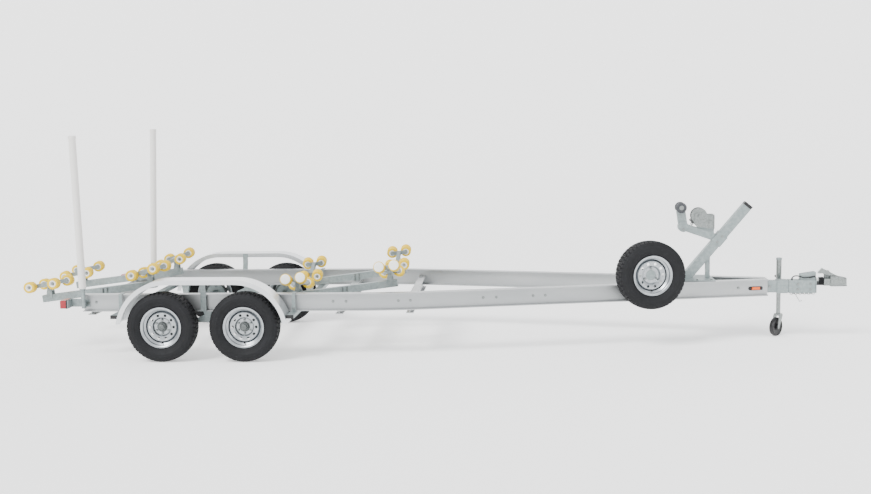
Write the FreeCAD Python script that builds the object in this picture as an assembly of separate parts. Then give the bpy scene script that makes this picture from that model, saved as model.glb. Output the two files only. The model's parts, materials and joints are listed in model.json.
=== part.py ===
import FreeCAD, Part
import math
import os
from FreeCAD import Vector

# Tandem-axle aluminium boat trailer with roller cradles, a winch stand, a spare
# wheel and a jack at the tongue.
# Millimetres. X runs forward to the coupler, Y to the left, Z up from the floor.
# Places along the trailer are measured from the middle between the two axles.
# The finished pieces are moved along X so that the origin is the centre of the footprint.

# Clearances
fit_gap = 0.3
pin_gap = 0.3
side_gap = 6.0
overrun = 20.0

# Wheels and axles
tyre_radius = 357.0
tyre_width = 223.0
tyre_tread_width = 176.0
tyre_crown = 6.0
tyre_shoulder_radius = 26.0
tyre_bulge_radius = 292.0
tyre_bead_width = 158.0
tyre_side_share = 0.55
tyre_round_share = 0.4
bead_seat_radius = 190.5
rim_flange_radius = 209.0
rim_width = 178.0
rim_wall = 5.0
rim_well_radius = 166.0
rim_well_width = 62.0
disc_wall = 6.0
disc_rim_offset = 12.0
disc_crest_offset = 42.0
disc_crest_radius = 146.0
disc_hole_face_offset = 36.0
disc_inner_radius = 98.0
disc_boss_offset = 14.0
disc_boss_radius = 84.0
disc_bore_radius = 54.0
vent_count = 10
vent_ring_radius = 122.0
vent_radius = 14.5
hub_flange_radius = 86.0
hub_flange_thickness = 14.0
hub_barrel_radius = 52.0
hub_barrel_length = 44.0
hub_nose_radius = 40.0
hub_nose_length = 34.0
grease_cap_radius = 31.0
grease_cap_length = 26.0
drum_radius = 128.0
drum_wall = 9.0
drum_lip = 3.0
drum_lip_width = 12.0
backing_plate = 5.0
backing_rim = 8.0
brake_port_radius = 9.0
brake_port_length = 26.0
brake_port_place = 84.0
spindle_radius = 22.0
axle_half_spacing = 425.0
axle_tube_size = 64.0
axle_tube_wall = 8.0

# Main rails
rail_height = 178.0
rail_flange_width = 100.0
rail_flange = 9.0
rail_web = 6.0
rail_half_spacing = 968.0
rail_to_wheel = 207.0
rail_to_fender = 80.0
rail_to_post = 86.0
rail_to_arm = 440.0
fender_tube_inset = 40.0
rail_bottom = 486.0
rail_rear_x = -1307.0
rail_bend_x = 1900.0
rail_bend_radius = 3500.0
rail_nose_x = 5878.0
rail_nose_half_spacing = 58.0

# Crossmembers
cross_height = 140.0
cross_width = 76.0
cross_web = 6.0
cross_flange = 8.0
cross_top = 592.0
cross_places = (-1215.0, 1369.0, 2090.0)

# Springs under the rails
spring_width = 45.0
spring_leaf = 8.0
spring_leaf_shares = (1.0, 0.8, 0.55, 0.32)
spring_half_span = 318.0
spring_rise = 62.0
spring_eye_radius = 19.0
spring_bolt_radius = 8.0
hanger_plate = 8.0
hanger_length = 90.0
equalizer_depth = 46.0
seat_plate = 12.0
ubolt_radius = 6.0

# Fenders
fender_width = 254.0
fender_sheet = 3.5
fender_top = 845.0
fender_bend_radius = 540.0
fender_flat_half = 345.0
fender_tip_angle = 80.0
fender_lip = 46.0
fender_tube_height = 38.0
fender_tube_width = 76.0
fender_tube_wall = 4.0
fender_cap = 6.0
strut_width = 60.0
strut_plate = 8.0
strut_x = -35.0

# Guide posts
post_radius = 37.5
post_bore_radius = 33.0
post_cap_height = 30.0
post_cap_extra = 3.0
post_pipe_radius = 22.0
post_pipe_insert = 300.0
post_collar_radius = 32.0
post_collar_height = 12.0
post_foot_z = 527.0
post_clamp_height = 70.0
post_clamp_length = 90.0
post_clamp_plate = 8.0

# Each guide post: side, place along X, lean outwards, height of its foot, length
post_places = ((-1, -1288.0, 4.3, 736.0, 1576.0), (1, -1150.0, 6.5, 740.0, 1597.0))

# Rear lamps
lamp_depth = 81.0
lamp_width = 150.0
lamp_height = 84.0
lamp_x = -1444.0
lamp_z = 572.0
lamp_bracket_plate = 6.0
lamp_bracket_overlap = 40.0
lamp_corner_radius = 14.0
marker_length = 88.0
marker_height = 32.0
marker_depth = 22.0
marker_base_length = 160.0
marker_base_height = 40.0
marker_base_depth = 6.0
marker_round_share = 0.8
marker_x = 5745.0
marker_z = 567.0

# Roller cradles
arm_size = 75.0
arm_wall = 5.0
arm_slope = 7.2
arm_rear_ends = (-1905.0, -660.0)
arm_front_ends = (805.0, 1930.0)
arm_saddle = 8.0
bogie_pivot_height = 42.0
bogie_pin_radius = 11.0
bogie_post_size = 60.0
bogie_ear = 8.0
bogie_beam_size = 40.0
bogie_side_bar = 10.0
bogie_side_height = 44.0
bogie_shaft_radius = 9.0
roller_radius = 60.0
roller_length = 88.0
roller_hub_radius = 46.0
roller_hub_face = 7.0
roller_groove = 3.0
roller_offset = 208.0
roller_rise = 72.0

# Each cradle: name, place along X, half spacing of its shafts, pitch, sideways tilt
bogie_places = (
    ("rear_back", -1825.0, 130.0, 9.0, 3.0),
    ("rear_fore", -722.0, 122.0, 17.0, 3.0),
    ("front_back", 866.0, 79.0, 7.0, 15.0),
    ("front_fore", 1850.0, 79.0, 7.0, 15.0),
)

# Tongue and coupler
tongue_width = 102.0
tongue_height = 127.0
tongue_wall = 6.0
tongue_bottom = 514.0
tongue_rear_x = 5300.0
tongue_front_x = 6330.0
tongue_cross_size = 50.0
tongue_cheek_length = 300.0
jack_collar_x = 5981.0
jack_collar_length = 116.0
jack_collar_wall = 8.0
case_rear_x = 6106.0
case_length = 290.0
case_wall = 6.0
case_flange = 12.0
cover_rear_x = 6226.0
cover_rear_height = 66.0
cover_front_height = 92.0
cover_width = 84.0
cover_round = 14.0
slide_width = 56.0
slide_height = 44.0
slide_z = 610.0
slide_rear_x = 6292.0
boot_rear_x = 6426.0
boot_length = 54.0
boot_radius = 47.0
boot_valley = 9.0
boot_folds = 4
boot_z = 632.0
neck_height = 74.0
neck_width = 84.0
coupler_body_length = 130.0
coupler_x = 6676.0
coupler_z = 622.0
ball_radius = 25.4
coupler_nose_radius = 52.0
coupler_top_height = 66.0
coupler_front_height = 44.0
coupler_round = 16.0
coupler_skirt = 44.0
coupler_lip = 6.0
latch_rear_x = 6422.0
latch_peak_x = 6462.0
latch_knob_x = 6530.0
latch_width = 40.0
latch_plate = 6.0
latch_peak_z = 772.0
latch_heel_z = 726.0
latch_knob_z = 738.0
latch_knob_radius = 9.0

# Brake hose along the cylinder's cover: its points as (x, y, height)
hose_radius = 6.5
hose_route = ((6142.0, -30.0, 647.3), (6142.0, -30.0, 666.0), (6160.0, -42.0, 688.0),
              (6198.0, -52.0, 693.0), (6240.0, -52.0, 680.0), (6300.0, -52.0, 675.0),
              (6350.0, -52.0, 679.0), (6376.0, -52.0, 686.0))
hose_nut_radius = 10.0
hose_nut_length = 18.0

# Safety chain hung under the coupler's case
chain_wire = 3.2
chain_bend = 9.0
chain_straight = 12.0
chain_overlap = 0.8
chain_rear_x = 6146.0
chain_links = 11
chain_hook_x = 6186.0
chain_hook_run = 48.0
chain_hook_drop = 78.0

# Winch stand
stand_size = 100.0
stand_wall = 6.0
stand_angle = 50.0
stand_top_back = 224.3
stand_top_z = 1442.0
stand_cap = 34.0
base_plate = 10.0
base_rear_back = 728.7
base_front_back = 353.7
brace_size = 48.0
brace_back = 408.7
arm_beam_size = 78.0
arm_beam_slope = 19.3
arm_beam_rear_back = 673.7
arm_beam_z = 1096.0
elbow_radius = 56.0
elbow_plate = 9.0
upright_width = 96.0
upright_depth = 52.0
upright_round = 40.0
winch_saddle_width = 64.0
collar_plate = 8.0
collar_length = 130.0
bow_roller_back = 698.7
bow_roller_z = 1437.0
bow_roller_radius = 57.0
bow_roller_width = 46.0
bow_roller_hub_radius = 24.0
bow_roller_hub = 8.0
bow_roller_round = 12.0
bow_shaft_radius = 11.0
winch_back = 507.7
winch_z = 1349.0
winch_plate = 5.0
winch_width = 110.0
winch_rear_back = 559.7
winch_front_back = 346.7
winch_foot_back = 525.7
winch_heel_z = 1266.0
winch_rear_sole_z = 1229.0
winch_front_sole_z = 1207.0
winch_front_top_z = 1363.0
winch_flange_rise = 14.0
winch_drum_radius = 34.0
winch_flange_radius = 86.0
strap_roll_radius = 66.0
strap_width = 50.0
strap_thickness = 8.0
strap_hook_z = 1262.0
strap_hook_radius = 13.0
winch_flange = 5.0
winch_shaft_radius = 9.0
crank_back = 391.7
crank_z = 1286.0
crank_length = 190.0
crank_bar = 8.0
crank_bar_width = 26.0
crank_grip_radius = 15.0
crank_grip_length = 105.0

# Spare wheel
spare_x = 4575.0
spare_z = 782.0
spare_stand_off = 205.0
carrier_plate = 8.0
carrier_width = 90.0
carrier_flange_radius = 86.0

# Jack
jack_x = 6052.0
jack_y = 216.0
jack_outer_radius = 29.0
jack_wall = 4.0
jack_top = 858.0
jack_outer_bottom = 480.0
jack_inner_radius = 23.5
jack_inner_overlap = 112.0
jack_cap_height = 26.0
jack_plate = 10.0
jack_plate_size = 110.0
jack_clamp_height = 60.0
caster_radius = 102.0
caster_width = 50.0
caster_trail = 44.0
caster_turn = 48.0
caster_fork_plate = 6.0
caster_axle_radius = 8.0
caster_kingpin_radius = 11.0
caster_groove_share = 1.4
jack_crank_height = 800.0
jack_crank_reach = 70.0
jack_crank_drop = 165.0
jack_crank_radius = 7.0
jack_crank_knob_radius = 14.0
jack_crank_knob_length = 70.0

wheel_z = tyre_radius
rail_top = rail_bottom + rail_height
wheel_half_track = rail_half_spacing + rail_to_wheel
fender_inner_y = rail_half_spacing + rail_to_fender
post_y = rail_half_spacing + rail_to_post
arm_side_y = rail_half_spacing - rail_to_arm
stand_top_x = rail_nose_x - stand_top_back
base_rear_x = stand_top_x - base_rear_back
base_front_x = stand_top_x - base_front_back
brace_x = stand_top_x - brace_back
arm_beam_rear_x = stand_top_x - arm_beam_rear_back
bow_roller_x = stand_top_x - bow_roller_back
winch_x = stand_top_x - winch_back
winch_rear_x = stand_top_x - winch_rear_back
winch_front_x = stand_top_x - winch_front_back
winch_foot_x = stand_top_x - winch_foot_back
crank_x = stand_top_x - crank_back
tongue_top = tongue_bottom + tongue_height
fender_outer_y = fender_inner_y + fender_width
fender_tube_reach = fender_outer_y - fender_tube_inset


def block(x0, x1, y0, y1, z0, z1):
    return Part.makeBox(x1 - x0, y1 - y0, z1 - z0, Vector(x0, y0, z0))


def rod(start, end, radius):
    run = Vector(*end) - Vector(*start)
    return Part.makeCylinder(radius, run.Length, Vector(*start), run)


def pipe(start, end, radius, wall):
    run = Vector(*end) - Vector(*start)
    over = Vector(run).normalize() * overrun
    bore = Part.makeCylinder(radius - wall, run.Length + over.Length * 2, Vector(*start) - over, run)
    return rod(start, end, radius).cut(bore)


def outline(points):
    corners = [Vector(*point) for point in points]
    return Part.Face(Part.makePolygon(corners + corners[:1]))


def side_plate(points, y0, y1):
    """A plate cut to an outline in the X-Z plane, from y0 to y1."""
    return outline([(x, y0, z) for x, z in points]).extrude(Vector(0, y1 - y0, 0))


def cross_plate(points, x0, x1):
    """A plate cut to an outline in the Y-Z plane, from x0 to x1."""
    return outline([(x0, y, z) for y, z in points]).extrude(Vector(x1 - x0, 0, 0))


def turned(points):
    """A turned piece on the Y axis, from (radius, y) points."""
    return outline([(radius, y, 0) for radius, y in points]).revolve(Vector(), Vector(0, 1, 0), 360)


def turned_z(points):
    """A turned piece on the Z axis, from (radius, z) points."""
    return outline([(radius, 0, z) for radius, z in points]).revolve(Vector(), Vector(0, 0, 1), 360)


def moved(shape, x, y, z):
    result = shape.copy()
    result.translate(Vector(x, y, z))
    return result


def swung(shape, angle, axis, centre=Vector()):
    result = shape.copy()
    result.rotate(centre, axis, angle)
    return result


def mirrored(shape):
    return shape.mirror(Vector(), Vector(0, 1, 0))


def group(*shapes):
    return Part.makeCompound(list(shapes))


def both_sides(shape):
    return group(shape, mirrored(shape))


def joined(first, *others):
    return first.fuse(list(others)).removeSplitter() if others else first


rail_angle = math.atan((rail_half_spacing - rail_nose_half_spacing) / (rail_nose_x - rail_bend_x))
bend_reach = rail_bend_radius * math.tan(rail_angle / 2)


def rail_y(x):
    """Distance of a rail's centre line from the middle of the trailer."""
    bend_start = rail_bend_x - bend_reach
    bend_end = rail_bend_x + bend_reach * math.cos(rail_angle)
    if x < bend_start:
        return rail_half_spacing
    if x < bend_end:
        return rail_half_spacing - rail_bend_radius + math.sqrt(rail_bend_radius**2 - (x - bend_start)**2)
    return rail_nose_half_spacing + (rail_nose_x - x) * math.tan(rail_angle)


def rail_sweep(section):
    """Carry a (y, z) outline along the left rail: straight, bent round, and straight to the nose."""
    bend_start = rail_bend_x - bend_reach
    face = outline([(bend_start, rail_half_spacing + y, z) for y, z in section])
    rear = face.extrude(Vector(rail_rear_x - bend_start, 0, 0))
    centre = Vector(bend_start, rail_half_spacing - rail_bend_radius, 0)
    angle = math.degrees(rail_angle)
    bend = face.revolve(centre, Vector(0, 0, -1), angle)
    front_face = swung(face, -angle, Vector(0, 0, 1), centre)
    run = (rail_nose_x - rail_bend_x) / math.cos(rail_angle) - bend_reach + rail_flange_width
    front = front_face.extrude(Vector(math.cos(rail_angle), -math.sin(rail_angle), 0) * run)
    trim = block(rail_nose_x, rail_nose_x + run, -run, run, 0, rail_top + overrun)
    return rear.fuse([bend, front]).removeSplitter().cut(trim)


def beam_section(width, web, flange, bottom, top):
    half = width / 2
    core = web / 2
    low = bottom + flange
    high = top - flange
    return [(-half, bottom), (half, bottom), (half, low), (core, low), (core, high), (half, high),
            (half, top), (-half, top), (-half, high), (-core, high), (-core, low), (-half, low)]


def rails():
    left = rail_sweep(beam_section(rail_flange_width, rail_web, rail_flange, rail_bottom, rail_top))
    return mirrored(left), left


def rail_flank():
    """All the space outward of the left web's inner face, between the rail's lowest and highest faces."""
    return rail_sweep([(-rail_web / 2, rail_bottom), (rail_flange_width, rail_bottom),
                       (rail_flange_width, rail_top), (-rail_web / 2, rail_top)])


def crossmembers(rail_left):
    """Beams coped round each rail's lower flange, with their lower edge carried on below it."""
    keep_clear = rail_flank().fuse(rail_left)
    beams = []
    for x in cross_places:
        section = beam_section(cross_width, cross_web, cross_flange, cross_top - cross_height, cross_top)
        reach = rail_y(x) + rail_flange_width / 2
        face = outline([(x + across, -reach, z) for across, z in section])
        beam = face.extrude(Vector(0, reach * 2, 0))
        beams.append(beam.cut([keep_clear, mirrored(keep_clear)]))
    return group(*beams)


def tyre():
    """A radial tyre on the Y axis: crowned tread, round shoulders and bulged walls."""
    half_tread = tyre_tread_width / 2
    half = tyre_width / 2
    bead = tyre_bead_width / 2
    inner = bead_seat_radius + fit_gap
    shoulder = tyre_radius - tyre_crown
    knee = shoulder - tyre_shoulder_radius

    def arc(start, middle, end):
        points = [Vector(radius, y, 0) for radius, y in (start, middle, end)]
        return Part.Arc(*points).toShape()

    def line(start, end):
        return Part.LineSegment(Vector(*start, 0), Vector(*end, 0)).toShape()

    round_off = tyre_shoulder_radius * (1 - math.sqrt(1 / 2))
    side = half_tread + (half - half_tread) * tyre_side_share
    ease = round_off * tyre_round_share
    edges = [
        arc((shoulder, -half_tread), (tyre_radius, 0), (shoulder, half_tread)),
        arc((shoulder, half_tread), (shoulder - round_off, side - ease), (knee, side)),
        arc((knee, side), (tyre_bulge_radius, half), (rim_flange_radius + fit_gap, bead)),
        line((rim_flange_radius + fit_gap, bead), (inner, bead)),
        line((inner, bead), (inner, -bead)),
        line((inner, -bead), (rim_flange_radius + fit_gap, -bead)),
        arc((rim_flange_radius + fit_gap, -bead), (tyre_bulge_radius, -half), (knee, -side)),
        arc((knee, -side), (shoulder - round_off, ease - side), (shoulder, -half_tread)),
    ]
    face = Part.Face(Part.Wire(Part.__sortEdges__(edges)))
    return face.revolve(Vector(), Vector(0, 1, 0), 360)


def rim():
    """A pressed wheel on the Y axis, outer face to +Y: dropped rim, dished disc and round vents."""
    half = rim_width / 2
    seat = tyre_bead_width / 2 + fit_gap
    well = rim_well_width / 2
    slope_end = well + rim_wall * 3
    skin = bead_seat_radius - rim_wall
    barrel = turned([
        (rim_flange_radius, -half), (rim_flange_radius, -seat), (bead_seat_radius, -seat),
        (bead_seat_radius, -slope_end), (rim_well_radius + rim_wall, -well),
        (rim_well_radius + rim_wall, well), (bead_seat_radius, slope_end),
        (bead_seat_radius, seat), (rim_flange_radius, seat), (rim_flange_radius, half),
        (rim_flange_radius - rim_wall, half), (skin + rim_wall, seat + rim_wall), (skin, seat),
        (skin, slope_end), (rim_well_radius, well),
        (rim_well_radius, -well), (skin, -slope_end),
        (skin, -seat), (skin + rim_wall, -seat - rim_wall), (rim_flange_radius - rim_wall, -half)])
    dish = [(rim_well_radius, disc_rim_offset), (disc_crest_radius, disc_crest_offset),
            (vent_ring_radius, disc_crest_offset), (disc_inner_radius, disc_hole_face_offset),
            (disc_boss_radius, disc_boss_offset), (disc_bore_radius, disc_boss_offset)]
    back = [(radius, y - disc_wall) for radius, y in reversed(dish)]
    disc = turned(dish + back)
    vents = []
    for number in range(vent_count):
        angle = number * 360 / vent_count
        vent = rod((vent_ring_radius, 0, 0), (vent_ring_radius, disc_crest_offset * 2, 0), vent_radius)
        vents.append(swung(vent, angle, Vector(0, 1, 0)))
    return joined(barrel, disc).cut(vents)


def hub():
    """The hub and brake drum behind the disc, bored for the spindle, with a grease cap through the disc."""
    face = disc_boss_offset - disc_wall
    back = face - hub_flange_thickness
    inner_end = back - hub_barrel_length
    nose = face + hub_nose_length
    cap = nose + grease_cap_length
    drum_inside = drum_radius - drum_wall
    lip_end = inner_end + drum_lip_width
    body = turned([(0, inner_end), (hub_barrel_radius, inner_end), (hub_barrel_radius, back),
                   (drum_inside, back), (drum_inside, inner_end), (drum_radius + drum_lip, inner_end),
                   (drum_radius + drum_lip, lip_end), (drum_radius, lip_end),
                   (drum_radius, back + drum_wall), (hub_flange_radius, face), (hub_nose_radius, face),
                   (hub_nose_radius, nose), (grease_cap_radius, nose), (grease_cap_radius, cap), (0, cap)])
    cap_edge = [edge for edge in body.Edges
                if abs(edge.BoundBox.YMin - cap) < fit_gap and abs(edge.BoundBox.YMax - cap) < fit_gap]
    body = body.makeFillet(grease_cap_length / 2, cap_edge)
    bore_length = hub_barrel_length + hub_flange_thickness
    bore = Part.makeCylinder(spindle_radius + pin_gap, bore_length, Vector(0, inner_end, 0), Vector(0, 1, 0))
    return body.cut(bore)


def wheel_places():
    for side, side_name in ((-1, "right"), (1, "left")):
        for x, end_name in ((-axle_half_spacing, "rear"), (axle_half_spacing, "front")):
            yield side, x, f"{end_name}_{side_name}"


def set_wheel(shape, side, x):
    turned_out = shape if side > 0 else mirrored(shape)
    return moved(turned_out, x, side * wheel_half_track, wheel_z)


def backing(reach):
    """A brake's backing plate with its rolled rim, and the cylinder's port on its inner face."""
    inner = reach - backing_plate
    rim_radius = drum_radius - drum_wall - side_gap
    lip = rim_radius - backing_plate
    rolled = inner - backing_rim + backing_plate
    plate = turned([(0, inner), (lip, inner), (lip, rolled), (rim_radius, rolled), (rim_radius, reach),
                    (0, reach)])
    port = rod((0, inner - brake_port_length, brake_port_place), (0, inner, brake_port_place),
               brake_port_radius)
    return joined(plate, port)


def axles():
    """Square axle tubes with a turned spindle and a brake backing plate at each end."""
    hub_back = wheel_half_track + disc_boss_offset - disc_wall - hub_flange_thickness - hub_barrel_length
    reach = hub_back - side_gap
    half = axle_tube_size / 2
    core = half - axle_tube_wall
    spindle_end = hub_back + hub_barrel_length
    beams = []
    for x in (-axle_half_spacing, axle_half_spacing):
        tube = block(x - half, x + half, -reach, reach, wheel_z - half, wheel_z + half)
        hollow = block(x - core, x + core, -reach + half, reach - half, wheel_z - core, wheel_z + core)
        spindles = rod((x, -spindle_end, wheel_z), (x, spindle_end, wheel_z), spindle_radius)
        outer = [spindles.common(block(x - half, x + half, -spindle_end, -reach + half, 0, rail_top)),
                 spindles.common(block(x - half, x + half, reach - half, spindle_end, 0, rail_top))]
        plates = moved(both_sides(backing(reach)), x, 0, wheel_z)
        beams.append(joined(tube.cut(hollow), *outer, *plates.Solids))
    return group(*beams)


def leaf_pack():
    """A pack of leaves bent to one curve, its top leaf rolled into an eye at each end."""
    curve_radius = (spring_half_span**2 + spring_rise**2) / (2 * spring_rise)
    seat_z = wheel_z - axle_tube_size / 2
    centre_z = seat_z + curve_radius
    half = spring_width / 2
    solids = []
    for number, share in enumerate(spring_leaf_shares):
        inner = curve_radius + number * spring_leaf
        outer = inner + spring_leaf
        reach = math.asin(spring_half_span / curve_radius) * share
        low, high = -math.pi / 2 - reach, -math.pi / 2 + reach

        def at(radius, angle):
            return Vector(radius * math.cos(angle), -half, centre_z + radius * math.sin(angle))

        edges = [Part.Arc(at(inner, low), at(inner, -math.pi / 2), at(inner, high)).toShape(),
                 Part.LineSegment(at(inner, high), at(outer, high)).toShape(),
                 Part.Arc(at(outer, high), at(outer, -math.pi / 2), at(outer, low)).toShape(),
                 Part.LineSegment(at(outer, low), at(inner, low)).toShape()]
        solids.append(Part.Face(Part.Wire(edges)).extrude(Vector(0, spring_width, 0)))
    eye_z = seat_z + spring_rise
    for x in (-spring_half_span, spring_half_span):
        solids.append(rod((x, -half, eye_z), (x, half, eye_z), spring_eye_radius))
    pack = joined(*solids)
    bolt = spring_bolt_radius + pin_gap
    bores = [rod((x, -spring_width, eye_z), (x, spring_width, eye_z), bolt)
             for x in (-spring_half_span, spring_half_span)]
    flat = axle_tube_size / 2
    seat = block(-flat, flat, -spring_width, spring_width, seat_z, wheel_z)
    return pack.cut(bores + [seat])


def leaf_springs():
    pack = leaf_pack()
    return group(*[moved(pack, x, side * rail_half_spacing, 0)
                   for side in (-1, 1) for x in (-axle_half_spacing, axle_half_spacing)])


def hanger(x, pin_z, half_length):
    """A channel hanger under the rail: two cheeks, a top plate and the bolt through them."""
    inside = spring_width / 2 + fit_gap
    outside = inside + hanger_plate
    drop = spring_eye_radius + hanger_plate
    cheek = [(x - half_length, rail_bottom), (x + half_length, rail_bottom), (x + drop, pin_z - drop),
             (x - drop, pin_z - drop)]
    top = block(x - half_length, x + half_length, -outside, outside, rail_bottom - hanger_plate, rail_bottom)
    bolt = rod((x, -outside, pin_z), (x, outside, pin_z), spring_bolt_radius)
    return joined(side_plate(cheek, -outside, -inside), side_plate(cheek, inside, outside), top, bolt)


def equalizer(eye_z):
    """The equalizer between the two springs of one side, its bolts and the cheeks it hangs in."""
    inner_x = axle_half_spacing - spring_half_span
    pivot_z = eye_z + equalizer_depth
    lobe = spring_eye_radius
    cheek_in = spring_width / 2 + fit_gap
    cheek_out = cheek_in + hanger_plate
    beam = [(-inner_x - lobe, eye_z - lobe), (inner_x + lobe, eye_z - lobe), (inner_x + lobe, eye_z + lobe),
            (lobe, pivot_z + lobe), (-lobe, pivot_z + lobe), (-inner_x - lobe, eye_z + lobe)]
    beams = [side_plate(beam, cheek_in, cheek_out), side_plate(beam, -cheek_out, -cheek_in)]
    bolts = [rod((x, -cheek_out, eye_z), (x, cheek_out, eye_z), spring_bolt_radius)
             for x in (-inner_x, inner_x)]
    hanger_in = cheek_out + fit_gap
    hanger_out = hanger_in + hanger_plate
    half = hanger_length / 2
    hang = [(-half, rail_bottom), (half, rail_bottom), (lobe, pivot_z - lobe), (-lobe, pivot_z - lobe)]
    cheeks = [side_plate(hang, hanger_in, hanger_out), side_plate(hang, -hanger_out, -hanger_in)]
    pivot = rod((0, -hanger_out, pivot_z), (0, hanger_out, pivot_z), spring_bolt_radius)
    return joined(*beams, *bolts, *cheeks, pivot)


def suspension():
    """Hangers and equalizers that carry the springs, with a clamp plate under each spring."""
    eye_z = wheel_z - axle_tube_size / 2 + spring_rise
    outer_x = axle_half_spacing + spring_half_span
    half = spring_width / 2
    plate_top = wheel_z - axle_tube_size / 2 - spring_leaf * len(spring_leaf_shares)
    reach = axle_tube_size / 2 + ubolt_radius * 2
    pieces = [equalizer(eye_z)]
    for sign in (-1, 1):
        axle_x = sign * axle_half_spacing
        pieces.append(hanger(sign * outer_x, eye_z, hanger_length / 2))
        pieces.append(block(axle_x - reach, axle_x + reach, -half, half, plate_top - seat_plate, plate_top))
    return both_sides(moved(group(*pieces), 0, rail_half_spacing, 0))


def fender_band(inset, y0, y1):
    """The fender's side outline, set in by a distance and given a width, closed along its open side."""
    radius = fender_bend_radius - inset
    centre_z = fender_top - fender_bend_radius
    tip = math.radians(fender_tip_angle)

    def on_arc(sign, angle):
        x = sign * (fender_flat_half + radius * math.sin(angle))
        return Vector(x, y0, centre_z + radius * math.cos(angle))

    rear = Part.Arc(on_arc(-1, tip), on_arc(-1, tip / 2), on_arc(-1, 0)).toShape()
    top = Part.LineSegment(on_arc(-1, 0), on_arc(1, 0)).toShape()
    front = Part.Arc(on_arc(1, 0), on_arc(1, tip / 2), on_arc(1, tip)).toShape()
    foot = [Vector(on_arc(sign, tip)) for sign in (1, -1)]
    close = Part.LineSegment(foot[0], foot[1]).toShape()
    return Part.Face(Part.Wire([rear, top, front, close])).extrude(Vector(0, y1 - y0, 0))


def fender():
    """A folded sheet fender over both left wheels, with a lip down each side."""
    outer = fender_band(0, fender_inner_y, fender_outer_y)
    under = fender_band(fender_sheet, fender_inner_y + fender_sheet, fender_outer_y - fender_sheet)
    open_sides = fender_band(fender_lip, fender_inner_y - overrun, fender_outer_y + overrun)
    tip = math.radians(fender_tip_angle)
    foot_z = fender_top - fender_bend_radius + fender_bend_radius * math.cos(tip)
    lip_foot_z = fender_top - fender_bend_radius + (fender_bend_radius - fender_lip) * math.cos(tip)
    under_foot_z = fender_top - fender_bend_radius + (fender_bend_radius - fender_sheet) * math.cos(tip)
    reach = fender_flat_half + fender_bend_radius
    open_foot = block(-reach, reach, fender_inner_y + fender_sheet, fender_outer_y - fender_sheet,
                      lip_foot_z - fender_lip, under_foot_z)
    clear_foot = open_foot.common(block(-reach + fender_lip * 2, reach - fender_lip * 2, 0, fender_outer_y,
                                        0, foot_z + fender_lip))
    return outer.cut([under, open_sides, clear_foot])


def fender_supports():
    """Cross tubes under the rails that carry the fender tips, and a strap at the middle of each fender."""
    centre_z = fender_top - fender_bend_radius
    tube_bottom = rail_bottom - fender_tube_height
    inner_x = fender_flat_half + math.sqrt(fender_bend_radius**2 - (tube_bottom - centre_z)**2)
    pieces = []
    for sign in (-1, 1):
        low, high = sorted((sign * inner_x, sign * (inner_x + fender_tube_width)))
        tube = block(low, high, -fender_tube_reach, fender_tube_reach, tube_bottom, rail_bottom)
        wall = fender_tube_wall
        inner_reach = fender_tube_reach - fender_cap
        bore = block(low + wall, high - wall, -inner_reach, inner_reach,
                     tube_bottom + wall, rail_bottom - wall)
        pieces.append(tube.cut(bore))
    foot = rail_half_spacing + rail_flange_width / 2
    head = fender_inner_y
    bend_z = rail_top + (fender_top - rail_top) / 3
    top_z = fender_top - fender_sheet
    profile = [(foot, rail_bottom), (foot + strut_plate, rail_bottom), (foot + strut_plate, rail_top),
               (head, bend_z), (head, top_z), (head - strut_plate, top_z),
               (head - strut_plate, bend_z), (foot, rail_top)]
    strap = cross_plate(profile, strut_x - strut_width / 2, strut_x + strut_width / 2)
    return group(*pieces, strap, mirrored(strap))


def post_axis(side, lean):
    return Vector(0, side * math.sin(math.radians(lean)), math.cos(math.radians(lean)))


def guide_posts():
    """Plastic sleeves on the guide pipes, closed at the top by a cap and narrowed at the foot."""
    cap_radius = post_radius + post_cap_extra
    foot_bore = post_pipe_radius + fit_gap
    posts = []
    for side, x, lean, base_z, top in post_places:
        cap_z = top - post_cap_height
        lid_z = top - post_cap_extra
        plug_z = post_collar_radius * 2
        sleeve = turned_z([(foot_bore, 0), (post_radius, 0), (post_radius, cap_z), (cap_radius, cap_z),
                           (cap_radius, lid_z), (cap_radius - post_cap_extra, top), (0, top), (0, lid_z),
                           (post_bore_radius, lid_z), (post_bore_radius, plug_z), (foot_bore, plug_z)])
        leaned = swung(sleeve, -side * lean, Vector(1, 0, 0))
        posts.append(moved(leaned, x, side * post_y, base_z))
    return group(*posts)


def guide_brackets():
    """Steel pipes up inside the guide sleeves, each on a clamp bolted to the rail."""
    pieces = []
    clamp_z = post_foot_z + post_clamp_plate
    web_face = rail_half_spacing + rail_web / 2
    for side, x, lean, base_z, _ in post_places:
        axis = post_axis(side, lean)
        base = Vector(x, side * post_y, base_z)
        drop = (base_z - post_foot_z) / axis.z
        foot = base - axis * drop
        pole = Part.makeCylinder(post_pipe_radius, drop + post_pipe_insert, foot, axis)
        collar_foot = base - axis * post_collar_height
        collar = Part.makeCylinder(post_collar_radius, post_collar_height, collar_foot, axis)
        pad_low, pad_high = sorted((side * web_face, side * (web_face + post_clamp_plate)))
        stem_low, stem_high = sorted((side * web_face, foot.y))
        half = post_clamp_length / 2
        core = post_clamp_plate * 2
        clamp_top = clamp_z + post_clamp_height
        pad = block(x - half, x + half, pad_low, pad_high, clamp_z, clamp_top)
        stem = block(x - core, x + core, stem_low, stem_high, clamp_z, clamp_top)
        pieces.append(joined(pole, collar, pad, stem))
    return pieces


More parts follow.
